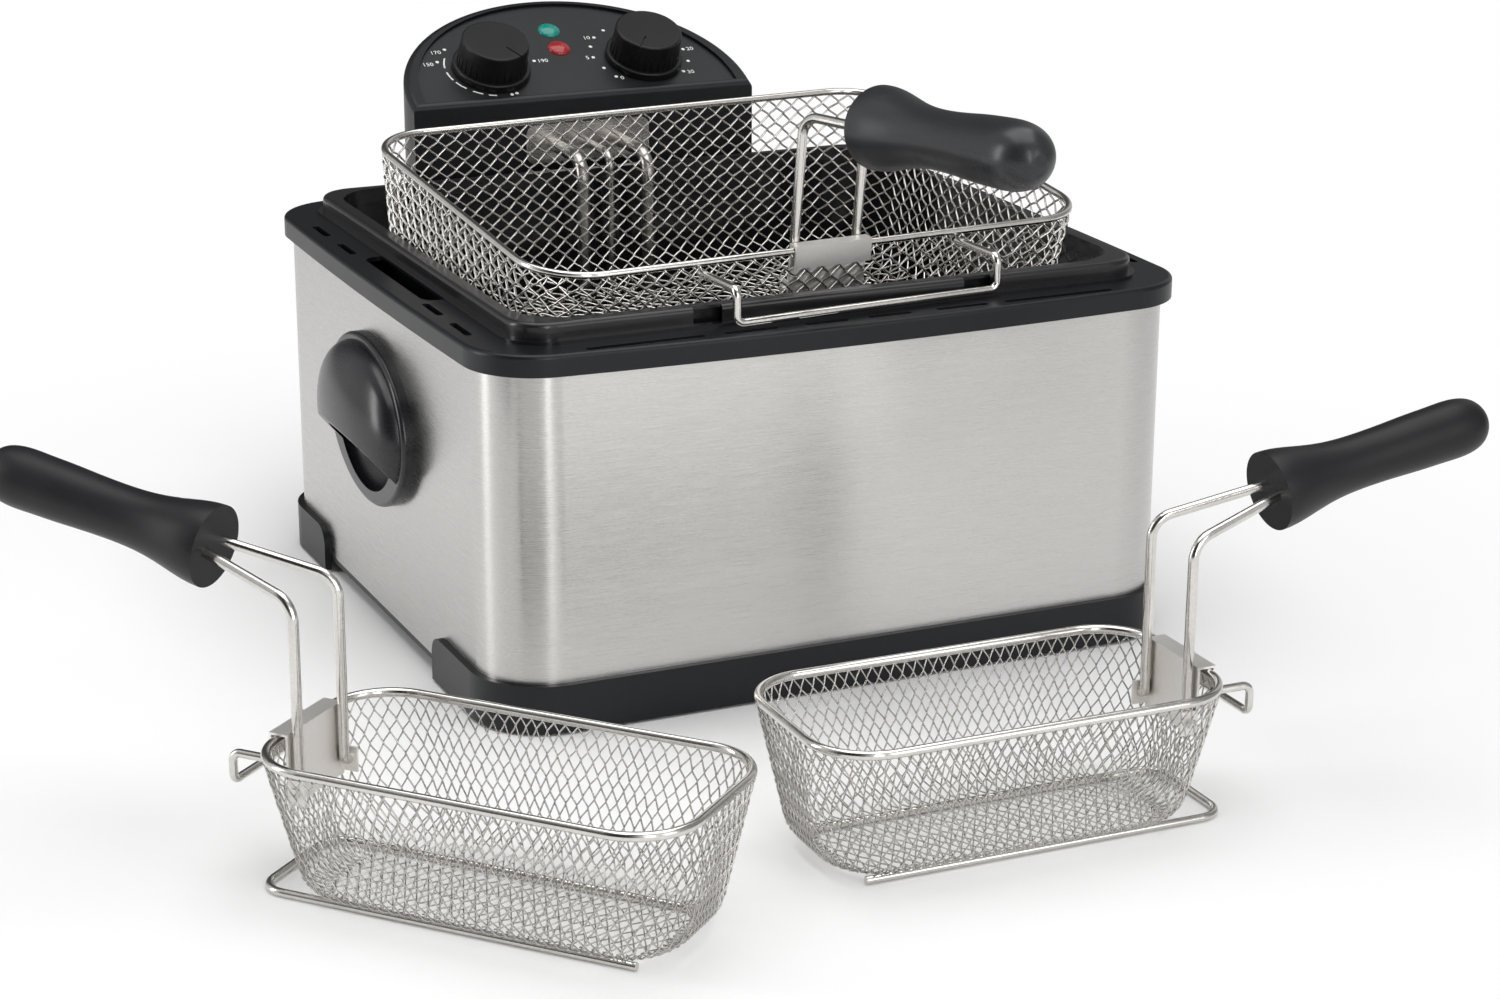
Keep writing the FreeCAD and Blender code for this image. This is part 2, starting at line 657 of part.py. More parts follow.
# Control housing: a D-shaped head with a sloping top, a stem behind the casing and a tongue on the frame
def d_face(width, straight, length, z):
    x = width / 2
    ellipse = Part.Ellipse(V(0, straight, z), x, length - straight)
    if length - straight > x:
        ellipse = Part.Ellipse(V(0, length, z), V(x, straight, z), V(0, straight, z))
    arch = Part.Arc(ellipse, 0, math.pi).toShape()
    front = Part.makeLine(V(-x, 0, z), V(x, 0, z))
    right = Part.makeLine(V(x, 0, z), V(x, straight, z))
    left = Part.makeLine(V(-x, straight, z), V(-x, 0, z))
    return Part.Face(Part.Wire([front, right, arch, left]))


def d_prism(width, straight, length, low, high):
    return d_face(width, straight, length, low).extrude(V(0, 0, high - low))


def above_slope(level):
    reach = 2 * HEAD_WIDTH
    slab = box((-reach, -reach, level), (reach, reach, level + reach))
    return placed(slab, PANEL_PLACE)


def stem_screw_points():
    x = STEM_WIDTH / 2 - COVER_SCREW_INSET
    low = STEM_BOTTOM + COVER_SCREW_INSET
    high = FRAME_TOP - COVER_SCREW_INSET
    return [V(sx * x, STEM_BACK + COVER_PLATE, z) for sx in (-1, 1) for z in (low, high)]


def element_start(side):
    return V(side * ELEMENT_SPACING / 2, HEAD_FRONT + ELEMENT_COLD_END, FRAME_TOP + ELEMENT_EXIT)


def front_hole(x, z, diameter):
    start = V(x, HEAD_FRONT - CUT_MARGIN, z)
    return Part.makeCylinder(diameter / 2, HEAD_WALL + 2 * CUT_MARGIN, start, Y_AXIS)


def head_inside(inset):
    depth = HEAD_DEPTH - 2 * inset
    high = FRAME_TOP + LIP_HEIGHT + HEAD_LENGTH
    shape = d_prism(HEAD_WIDTH - 2 * inset, HEAD_STRAIGHT, depth, FRAME_TOP + inset, high)
    shape.translate(V(0, HEAD_FRONT + inset, 0))
    return shape


def control_housing():
    head = head_inside(0.0).cut(above_slope(BORDER_RISE))
    rim_edges = [e for e in head.Edges if e.BoundBox.ZMin > FRAME_TOP + LIP_HEIGHT / 2]
    head = head.makeFillet(HEAD_EDGE, rim_edges)
    inside = head_inside(HEAD_WALL).cut(above_slope(-PANEL_PLATE))
    sill = FRAME_TOP + HEAD_WALL
    stem = box((-STEM_WIDTH / 2, STEM_FRONT, STEM_BOTTOM), (STEM_WIDTH / 2, STEM_BACK, sill))
    stem_inside = box((HEAD_WALL - STEM_WIDTH / 2, STEM_FRONT + HEAD_WALL, STEM_BOTTOM + HEAD_WALL),
                      (STEM_WIDTH / 2 - HEAD_WALL, STEM_BACK, FRAME_TOP))
    passage = box((BOSS_DIAMETER - STEM_WIDTH / 2, STEM_FRONT + BOSS_DIAMETER, FRAME_TOP - CUT_MARGIN),
                  (STEM_WIDTH / 2 - BOSS_DIAMETER, STEM_BACK - BOSS_DIAMETER, sill + CUT_MARGIN))
    tongue = box((-TONGUE_WIDTH / 2, HEAD_FRONT - TONGUE_REACH, FRAME_TOP),
                 (TONGUE_WIDTH / 2, HEAD_FRONT, sill))
    opening = d_prism(PANEL_WIDTH, PANEL_STRAIGHT, PANEL_LENGTH, -PANEL_PLATE, BORDER_RISE + CUT_MARGIN)
    opening.translate(V(0, PANEL_START, 0))
    shell = fused([head, stem, tongue])
    shell = shell.cut([inside, stem_inside, passage, placed(opening, PANEL_PLACE)])
    bosses = []
    for point in stem_screw_points():
        start = V(point.x, STEM_BACK, point.z)
        bosses.append(Part.makeCylinder(BOSS_DIAMETER / 2, STEM_DEPTH - HEAD_WALL, start, Y_AXIS * -1))
    shell = fused([shell] + bosses)
    holes = [screw_hole(p, Y_AXIS * -1) for p in stem_screw_points()]
    for side in (-1, 1):
        holes.append(front_hole(side * ELEMENT_SPACING / 2, FRAME_TOP + ELEMENT_EXIT, ELEMENT_DIAMETER))
    holes.append(front_hole(0, FRAME_TOP + ELEMENT_EXIT, SENSOR_DIAMETER))
    return one_solid(shell.cut(holes))


save(control_housing(), "control_housing")


# Control panel with holes for the shafts and the lamp lenses
def panel_hole(x, v, diameter):
    depth = PANEL_PLATE + PANEL_RIM_PLATE + 2 * CUT_MARGIN
    return Part.makeCylinder(diameter / 2, depth, V(x, v, CUT_MARGIN), Z_AXIS * -1)


def control_panel():
    seat = -PANEL_PLATE - TOUCH
    plate = d_prism(PANEL_WIDTH - 2 * TOUCH, PANEL_STRAIGHT, PANEL_LENGTH - 2 * TOUCH, seat, 0)
    plate.translate(V(0, PANEL_START + TOUCH, 0))
    rim = d_prism(PANEL_WIDTH + 2 * PANEL_RIM, PANEL_STRAIGHT, PANEL_LENGTH + PANEL_RIM,
                  -PANEL_PLATE - PANEL_RIM_PLATE, seat)
    rim.translate(V(0, PANEL_START, 0))
    rim = placed(rim, PANEL_PLACE).common(head_inside(HEAD_WALL + TOUCH))
    holes = [panel_hole(side * KNOB_X, KNOB_V, SHAFT_DIAMETER + 2 * SHAFT_FIT) for side in (-1, 1)]
    holes += [panel_hole(0, v, LENS_DIAMETER) for v in (GREEN_LAMP_V, RED_LAMP_V)]
    panel = fused([placed(plate, PANEL_PLACE), rim])
    return one_solid(panel.cut([placed(hole, PANEL_PLACE) for hole in holes]))


save(control_panel(), "control_panel")


# Knobs with fluted sides and a mark on the cap, each on its shaft
def knob(x, turn):
    low = KNOB_GAP
    skirt = Part.makeCylinder(KNOB_SKIRT_DIAMETER / 2, KNOB_SKIRT, V(0, 0, low))
    skirt = skirt.makeFillet(KNOB_EDGE, level_edges(skirt, low + KNOB_SKIRT))
    cap_foot = V(0, 0, low + KNOB_SKIRT)
    cap = Part.makeCone(KNOB_DIAMETER / 2, KNOB_TOP_DIAMETER / 2, KNOB_HEIGHT - KNOB_SKIRT, cap_foot)
    cap = cap.makeFillet(KNOB_EDGE, level_edges(cap, low + KNOB_HEIGHT))
    flutes = []
    for i in range(KNOB_FLUTES):
        angle = 2 * math.pi * i / KNOB_FLUTES
        at = V(math.cos(angle), math.sin(angle), 0) * (KNOB_DIAMETER / 2 + KNOB_FLUTE_OUT)
        flutes.append(Part.makeCylinder(KNOB_FLUTE_RADIUS, KNOB_HEIGHT, at + cap_foot))
    cap = cap.cut(flutes)
    top = low + KNOB_HEIGHT
    mark_start = KNOB_TOP_DIAMETER / 2 - KNOB_MARK_LENGTH
    mark = box((-KNOB_MARK_WIDTH / 2, mark_start, top - KNOB_MARK_WIDTH),
               (KNOB_MARK_WIDTH / 2, KNOB_TOP_DIAMETER, top + KNOB_MARK_WIDTH))
    mark.rotate(V(0, 0, 0), Z_AXIS, turn)
    body = fused([skirt, cap]).cut(mark)
    body = body.cut(Part.makeCylinder(SHAFT_DIAMETER / 2, SHAFT_IN_KNOB, V(0, 0, 0)))
    body.translate(V(x, KNOB_V, 0))
    return placed(body, PANEL_PLACE)


def shaft(x):
    low = -PANEL_PLATE - PANEL_RIM_PLATE - SHAFT_INSIDE
    body = Part.makeCylinder(SHAFT_DIAMETER / 2, SHAFT_IN_KNOB - low, V(x, KNOB_V, low))
    return placed(body, PANEL_PLACE)


def rotary_switch(x):
    top = -PANEL_PLATE - PANEL_RIM_PLATE
    body = box((x - SWITCH_WIDTH / 2, KNOB_V - SWITCH_LENGTH / 2, top - SWITCH_HEIGHT),
               (x + SWITCH_WIDTH / 2, KNOB_V + SWITCH_LENGTH / 2, top))
    radius = SHAFT_DIAMETER / 2 + SHAFT_FIT
    bore = Part.makeCylinder(radius, SHAFT_INSIDE + SHAFT_FIT, V(x, KNOB_V, top), Z_AXIS * -1)
    return placed(body.cut(bore), PANEL_PLACE)


save(knob(-KNOB_X, TEMPERATURE_MARK), "temperature_knob")
save(shaft(-KNOB_X), "temperature_shaft")
save(rotary_switch(-KNOB_X), "thermostat")
save(knob(KNOB_X, TIMER_MARK), "timer_knob")
save(shaft(KNOB_X), "timer_shaft")
save(rotary_switch(KNOB_X), "timer")


# Lamp lenses with a domed top, and the lamps behind them
def lens(v):
    low = -PANEL_PLATE - PANEL_RIM_PLATE
    body = Part.makeCylinder(LENS_DIAMETER / 2, -low, V(0, v, low))
    foot = Part.makeCylinder(LENS_DIAMETER / 2 + LENS_FLANGE, LENS_FLANGE, V(0, v, low - LENS_FLANGE))
    dome = ellipsoid(V(0, v, 0), LENS_DIAMETER / 2, LENS_DIAMETER / 2, LENS_RISE)
    keep = Part.makeCylinder(LENS_DIAMETER, LENS_RISE, V(0, v, 0))
    return placed(fused([body, foot, dome.common(keep)]), PANEL_PLACE)


def lamp(v):
    low = -PANEL_PLATE - PANEL_RIM_PLATE - LENS_FLANGE
    return placed(Part.makeCylinder(LAMP_DIAMETER / 2, LAMP_LENGTH, V(0, v, low), Z_AXIS * -1), PANEL_PLACE)


save(lens(GREEN_LAMP_V), "power_lens")
save(lens(RED_LAMP_V), "heat_lens")
save(lamp(GREEN_LAMP_V), "power_lamp")
save(lamp(RED_LAMP_V), "heat_lamp")


# Rear cover of the stem, power inlet with two pins, and the parts inside the control unit
def inlet_box(shrink, front, back):
    x = INLET_WIDTH / 2 - shrink
    z = INLET_HEIGHT / 2 - shrink
    return box((-x, front, INLET_Z - z), (x, back, INLET_Z + z))


def rear_cover():
    plate = box((-STEM_WIDTH / 2, STEM_BACK, STEM_BOTTOM),
                (STEM_WIDTH / 2, STEM_BACK + COVER_PLATE, FRAME_TOP - TOUCH))
    plate = plate.cut(inlet_box(0.0, STEM_BACK - CUT_MARGIN, INLET_BACK))
    return plate.cut([screw_hole(p, Y_AXIS * -1) for p in stem_screw_points()])


def inlet_pins():
    base = INLET_BACK - INLET_DEPTH + INLET_WALL
    feet = [V(side * PIN_SPACING / 2, base, INLET_Z) for side in (-1, 1)]
    return [Part.makeCylinder(PIN_DIAMETER / 2, PIN_LENGTH, foot, Y_AXIS) for foot in feet]


def power_inlet():
    body = inlet_box(0.0, INLET_BACK - INLET_DEPTH, INLET_BACK)
    return body.cut(inlet_box(INLET_WALL, INLET_BACK - INLET_DEPTH + INLET_WALL, INLET_BACK))


def terminal_block():
    y = STEM_FRONT + HEAD_WALL
    z = STEM_BOTTOM + HEAD_WALL
    return box((-TERMINAL_WIDTH / 2, y, z), (TERMINAL_WIDTH / 2, y + TERMINAL_DEPTH, z + TERMINAL_HEIGHT))


def thermal_cutout():
    foot = V(CUTOUT_X, HEAD_FRONT + CUTOUT_BACK, FRAME_TOP + HEAD_WALL)
    return Part.makeCylinder(CUTOUT_DIAMETER / 2, CUTOUT_HEIGHT, foot)


def safety_switch():
    x = STEM_WIDTH / 2 - HEAD_WALL
    y = STEM_FRONT + HEAD_WALL
    z = FRAME_TOP - SAFETY_SWITCH_DROP
    return box((x - SAFETY_SWITCH_WIDTH, y, z), (x, y + SAFETY_SWITCH_DEPTH, z + SAFETY_SWITCH_HEIGHT))


save(rear_cover(), "rear_cover")
save(power_inlet(), "power_inlet")
save(Part.makeCompound(inlet_pins()), "inlet_pins")
save(Part.makeCompound([screw(p, Y_AXIS * -1) for p in stem_screw_points()]), "cover_screws")
save(terminal_block(), "terminal_block")
save(thermal_cutout(), "thermal_cutout")
save(safety_switch(), "safety_switch")


# Rear guide on the back of the casing, which the stem slides down along
def rear_guide():
    back = STEM_FRONT - SLIDE_FIT
    high = FRAME_BOTTOM - FRAME_PLATE
    return box((-GUIDE_WIDTH / 2, CASING_DEPTH / 2, high - GUIDE_HEIGHT), (GUIDE_WIDTH / 2, back, high))


save(rear_guide(), "rear_guide")


# Heating element, its bracket plate and the sensor rod
def heating_element():
    x = ELEMENT_SPACING / 2
    high = FRAME_TOP + ELEMENT_EXIT
    low = POT_FLOOR + POT_WALL + ELEMENT_CLEARANCE + ELEMENT_DIAMETER / 2
    drop = POT_INNER_DEPTH / 2 - POT_TAPER - ELEMENT_BACK_GAP
    half = [
        element_start(-1),
        V(-x, drop, high),
        V(-x, drop, low),
        V(-x, ELEMENT_REAR_Y, low),
        V(-ELEMENT_OUTER_X, ELEMENT_REAR_Y, low),
        V(-ELEMENT_OUTER_X, ELEMENT_FRONT_Y, low),
        V(-ELEMENT_INNER_X, ELEMENT_FRONT_Y, low),
        V(-ELEMENT_INNER_X, ELEMENT_MIDDLE_Y, low),
    ]
    points = half + [V(-p.x, p.y, p.z) for p in reversed(half)]
    return rod(points, [ELEMENT_BEND] * (len(points) - 2), ELEMENT_DIAMETER)


def sensor_rod():
    z = FRAME_TOP + ELEMENT_EXIT
    y = HEAD_FRONT - SENSOR_FORWARD
    points = [V(0, HEAD_FRONT + ELEMENT_COLD_END, z), V(0, y, z), V(0, y, SENSOR_LOW)]
    return rod(points, [SENSOR_BEND], SENSOR_DIAMETER)


def element_bracket(tubes):
    low = FRAME_TOP + BRACKET_PLATE_LOW
    plate = box((-BRACKET_PLATE_WIDTH / 2, HEAD_FRONT - BRACKET_PLATE_SHEET, low),
                (BRACKET_PLATE_WIDTH / 2, HEAD_FRONT, low + BRACKET_PLATE_HEIGHT))
    corners = [e for e in plate.Edges if e.BoundBox.XLength < SAME and e.BoundBox.ZLength < SAME]
    plate = plate.makeFillet(BRACKET_PLATE_CORNER, corners)
    return plate.cut(tubes)


ELEMENT = heating_element()
SENSOR = sensor_rod()
save(ELEMENT, "heating_element")
save(SENSOR, "sensor_rod")
save(element_bracket([ELEMENT, SENSOR]), "element_bracket")


# Baskets are drawn with the rim centre at the origin and the handle towards -Y
def basket_tub(size, filled):
    top = -size["rim_wire"] / 2 - TOUCH
    width = size["width"] - 2 * BASKET_EDGE
    depth = size["depth"] - 2 * BASKET_EDGE
    floor = -size["height"]
    if filled:
        return filled_tub(width, depth, size["corner"], top, floor, size["taper"], size["bend"])
    return open_tub(width, depth, size["corner"], top, floor, size["taper"], size["bend"], BASKET_WALL)


def basket_rim(size):
    wire = size["rim_wire"]
    return wire_ring(size["width"] - wire, size["depth"] - wire, size["corner"] - wire / 2, wire, 0)


def leg_back(size):
    lean = size["taper"] / size["height"] * BRACKET_DROP
    return size["depth"] / 2 - BASKET_EDGE - BASKET_WALL - lean - TOUCH


def wire_line(size):
    return leg_back(size) - BRACKET_SHEET - PIVOT_GAP - size["wire"] / 2


def ear_inside(size):
    return size["spacing"] / 2 + size["wire"] / 2 + PIVOT_GAP


def basket_bracket(size):
    half = ear_inside(size) + BRACKET_SHEET
    over = size["rim_wire"] / 2 + TOUCH
    front = size["depth"] / 2 + TOUCH
    back = leg_back(size)
    leg = box((-half, -back, -BRACKET_DROP), (half, BRACKET_SHEET - back, over + BRACKET_SHEET))
    top = box((-half, -front - BRACKET_SHEET, over), (half, BRACKET_SHEET - back, over + BRACKET_SHEET))
    lip = box((-half, -front - BRACKET_SHEET, -BRACKET_LIP), (half, -front, over + BRACKET_SHEET))
    shapes = [leg, top, lip]
    for side in (-1, 1):
        near = side * ear_inside(size)
        far = side * half
        shapes.append(box((min(near, far), -back, -PIVOT_DROP - EAR_HALF_HEIGHT),
                          (max(near, far), EAR_REACH - back, EAR_HALF_HEIGHT - PIVOT_DROP)))
    bore = Part.makeCylinder(size["wire"] / 2 + PIN_FIT, 2 * half + 2 * CUT_MARGIN,
                             V(-half - CUT_MARGIN, -wire_line(size), -PIVOT_DROP), X_AXIS)
    return fused(shapes).cut(bore)


def handle_wire(size):
    out = wire_line(size)
    x = size["spacing"] / 2
    pin = ear_inside(size) + BRACKET_SHEET + PIN_END
    inner_x = GRIP_WIRE_SPACING / 2
    slope = math.radians(size["slope"])
    end_out = size["grip_start"] + GRIP_WIRE_DEPTH * math.cos(slope)
    end_rise = size["grip_rise"] + GRIP_WIRE_DEPTH * math.sin(slope)
    half = [
        V(-pin, -out, -PIVOT_DROP),
        V(-x, -out, -PIVOT_DROP),
        V(-x, -out, size["rise"]),
        V(-inner_x, -size["grip_start"], size["grip_rise"]),
        V(-inner_x, -end_out, end_rise),
    ]
    points = half + [V(-p.x, p.y, p.z) for p in reversed(half)]
    bends = [PIN_BEND, WIRE_BEND, WIRE_BEND, GRIP_WIRE_BEND]
    return rod(points, bends + bends[::-1], size["wire"])


def grip_radius(size, s):
    length = size["grip_length"]
    waist = size["waist"] / 2
    flare = (size["flare"] / 2 - waist) * math.exp(-((s / size["flare_length"]) ** 2))
    bulge_at = length - size["bulge"]
    bulge = (size["bulge"] / 2 - waist) * math.exp(-(((s - bulge_at) / size["bulge"]) ** 2))
    cap = size["bulge"] / 2
    past = max(0.0, s - (length - cap)) / cap
    return (waist + flare + bulge) * math.sqrt(max(0.0, 1 - past ** 2))


def grip(size, wire):
    length = size["grip_length"]
    cap = size["bulge"] / 2
    stations = [(length - cap) * i / GRIP_STEPS for i in range(GRIP_STEPS + 1)]
    stations += [length - cap + cap * math.sin(math.radians(angle)) for angle in GRIP_END_ANGLES]
    slope = math.radians(size["slope"])
    axis = V(0, -math.cos(slope), math.sin(slope))
    start = V(0, -size["grip_start"], size["grip_rise"])
    rings = [Part.Wire([Part.makeCircle(grip_radius(size, s), start + axis * s, axis)]) for s in stations]
    body = Part.makeLoft(rings, True, False)
    return one_solid(body.cut(wire))


def level_hook(span, inner, outer, level, drop, bend, diameter):
    x = span / 2
    half = [V(-x, -inner, level), V(-x, -outer, level), V(-x, -outer, level - drop)]
    points = half + [V(-p.x, p.y, p.z) for p in reversed(half)]
    return rod(points, [bend] * (len(points) - 2), diameter)


def save_basket(size, name, place):
    wire = handle_wire(size)
    save(placed(basket_tub(size, False), place), name + "_mesh")
    save(placed(basket_rim(size), place), name + "_rim")
    save(placed(basket_bracket(size), place), name + "_bracket")
    save(placed(wire, place), name + "_handle_wire")
    save(placed(grip(size, wire), place), name + "_grip")


# Large basket: tilted and slightly turned as it hangs, its hook standing on the ledge of the pot
LARGE = {
    "width": LARGE_WIDTH, "depth": LARGE_DEPTH, "corner": LARGE_CORNER, "height": LARGE_HEIGHT,
    "taper": LARGE_TAPER, "bend": LARGE_BEND, "rim_wire": LARGE_RIM_WIRE, "wire": LARGE_WIRE,
    "spacing": LARGE_WIRE_SPACING, "rise": LARGE_WIRE_RISE, "grip_start": LARGE_GRIP_START,
    "grip_rise": LARGE_GRIP_START_RISE, "grip_length": LARGE_GRIP_LENGTH, "slope": LARGE_GRIP_SLOPE,
    "flare": LARGE_GRIP_FLARE, "waist": LARGE_GRIP_WAIST, "bulge": LARGE_GRIP_BULGE,
    "flare_length": LARGE_GRIP_FLARE_LENGTH,
}
LARGE_TURN = FreeCAD.Rotation(Z_AXIS, LARGE_YAW)
LARGE_LEAN = FreeCAD.Rotation(X_AXIS, LARGE_TILT)
LARGE_CENTRE = V(LARGE_X, LARGE_Y, LARGE_Z)
LARGE_PLACE = FreeCAD.Placement(LARGE_CENTRE, LARGE_TURN.multiply(LARGE_LEAN))


def large_hook():
    yaw = math.radians(LARGE_YAW)
    level = POT_TOP + LARGE_HOOK_RISE
    drop = level - FRAME_TOP - POT_WALL - LARGE_HOOK_GAP - LARGE_HOOK_WIRE / 2
    near_y = -POT_DEPTH / 2 - LARGE_HOOK_STAND - LARGE_HOOK_WIRE / 2
    outer = (LARGE_Y - near_y + LARGE_HOOK_SPAN / 2 * math.sin(yaw)) / math.cos(yaw)
    inner = LARGE_DEPTH / 2 - LARGE_CORNER
    hook = level_hook(LARGE_HOOK_SPAN, inner, outer, level, drop, LARGE_HOOK_BEND, LARGE_HOOK_WIRE)
    hook = placed(hook, FreeCAD.Placement(V(LARGE_X, LARGE_Y, 0), LARGE_TURN))
    return one_solid(hook.cut(placed(basket_tub(LARGE, True), LARGE_PLACE)))


save_basket(LARGE, "large_basket", LARGE_PLACE)
save(large_hook(), "large_basket_hook")


# Small baskets: each stands level on a foot wire
SMALL = {
    "width": SMALL_WIDTH, "depth": SMALL_DEPTH, "corner": SMALL_CORNER, "height": SMALL_HEIGHT,
    "taper": SMALL_TAPER, "bend": SMALL_BEND, "rim_wire": SMALL_RIM_WIRE, "wire": SMALL_WIRE,
    "spacing": SMALL_WIRE_SPACING, "rise": SMALL_WIRE_RISE, "grip_start": SMALL_GRIP_START,
    "grip_rise": SMALL_GRIP_START_RISE, "grip_length": SMALL_GRIP_LENGTH, "slope": SMALL_GRIP_SLOPE,
    "flare": SMALL_GRIP_FLARE, "waist": SMALL_GRIP_WAIST, "bulge": SMALL_GRIP_BULGE,
    "flare_length": SMALL_GRIP_FLARE_LENGTH,
}


def small_hook():
    inner = SMALL_DEPTH / 2 - SMALL_CORNER
    hook = level_hook(SMALL_HOOK_SPAN, inner, SMALL_HOOK_REACH, -SMALL_HOOK_LEVEL, SMALL_HOOK_DROP,
                      SMALL_HOOK_BEND, SMALL_HOOK_WIRE)
    return one_solid(hook.cut(basket_tub(SMALL, True)))


def small_foot():
    x = SMALL_FOOT_SPACING / 2
    z = -SMALL_HEIGHT - TOUCH - SMALL_FOOT_WIRE / 2
    half = [V(-x, SMALL_FOOT_BACK, z), V(-x, -SMALL_FOOT_FRONT, z)]
    points = half + [V(-p.x, p.y, p.z) for p in reversed(half)]
    return rod(points, [SMALL_FOOT_BEND] * 2, SMALL_FOOT_WIRE)


SMALL_STANDS = (("left", LEFT_X, LEFT_Y, LEFT_TURN), ("right", RIGHT_X, RIGHT_Y, RIGHT_TURN))
for side_name, side_x, side_y, side_turn in SMALL_STANDS:
    stand = SMALL_HEIGHT + TOUCH + SMALL_FOOT_WIRE
    side_turned = FreeCAD.Rotation(Z_AXIS, side_turn + QUARTER_TURN)
    side_place = FreeCAD.Placement(V(side_x, side_y, stand), side_turned)
    save_basket(SMALL, side_name + "_basket", side_place)
    save(placed(small_hook(), side_place), side_name + "_basket_hook")
    save(placed(small_foot(), side_place), side_name + "_basket_foot")
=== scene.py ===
"""Looks of a deep fryer with one large and two small wire baskets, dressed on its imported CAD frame."""

import json
import logging
import math
from dataclasses import dataclass
from enum import Enum

import bpy
import numpy as np
from mathutils import Matrix, Vector

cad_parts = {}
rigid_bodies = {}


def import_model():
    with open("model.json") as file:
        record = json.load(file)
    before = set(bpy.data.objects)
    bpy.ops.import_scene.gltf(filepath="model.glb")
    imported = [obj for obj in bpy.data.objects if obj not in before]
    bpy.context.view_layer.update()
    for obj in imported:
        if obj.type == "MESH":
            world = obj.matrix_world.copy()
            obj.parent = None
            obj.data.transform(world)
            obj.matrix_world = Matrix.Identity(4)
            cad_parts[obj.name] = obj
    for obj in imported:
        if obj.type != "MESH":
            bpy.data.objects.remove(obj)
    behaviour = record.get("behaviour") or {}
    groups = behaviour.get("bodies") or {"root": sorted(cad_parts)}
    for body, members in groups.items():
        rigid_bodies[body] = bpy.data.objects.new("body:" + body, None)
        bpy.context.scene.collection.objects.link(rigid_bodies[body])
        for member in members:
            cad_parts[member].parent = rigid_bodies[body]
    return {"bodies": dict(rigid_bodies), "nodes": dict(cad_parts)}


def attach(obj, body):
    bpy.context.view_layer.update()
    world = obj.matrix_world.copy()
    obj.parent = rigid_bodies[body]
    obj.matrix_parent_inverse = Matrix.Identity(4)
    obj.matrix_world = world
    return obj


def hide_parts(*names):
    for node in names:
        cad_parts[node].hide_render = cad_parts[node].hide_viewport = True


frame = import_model()

MM = 0.001
FRYER_CENTRE = Vector((0.0993, 0.0968, 0.0))
LOG = logging.getLogger("fryer")

Colour = tuple[float, float, float]


class Brushing(Enum):
    """How the fine texture of a surface is drawn out, as noise scales along X, Y and Z."""

    NONE = (1.0, 1.0, 1.0)
    LEVEL = (0.012, 0.012, 1.0)


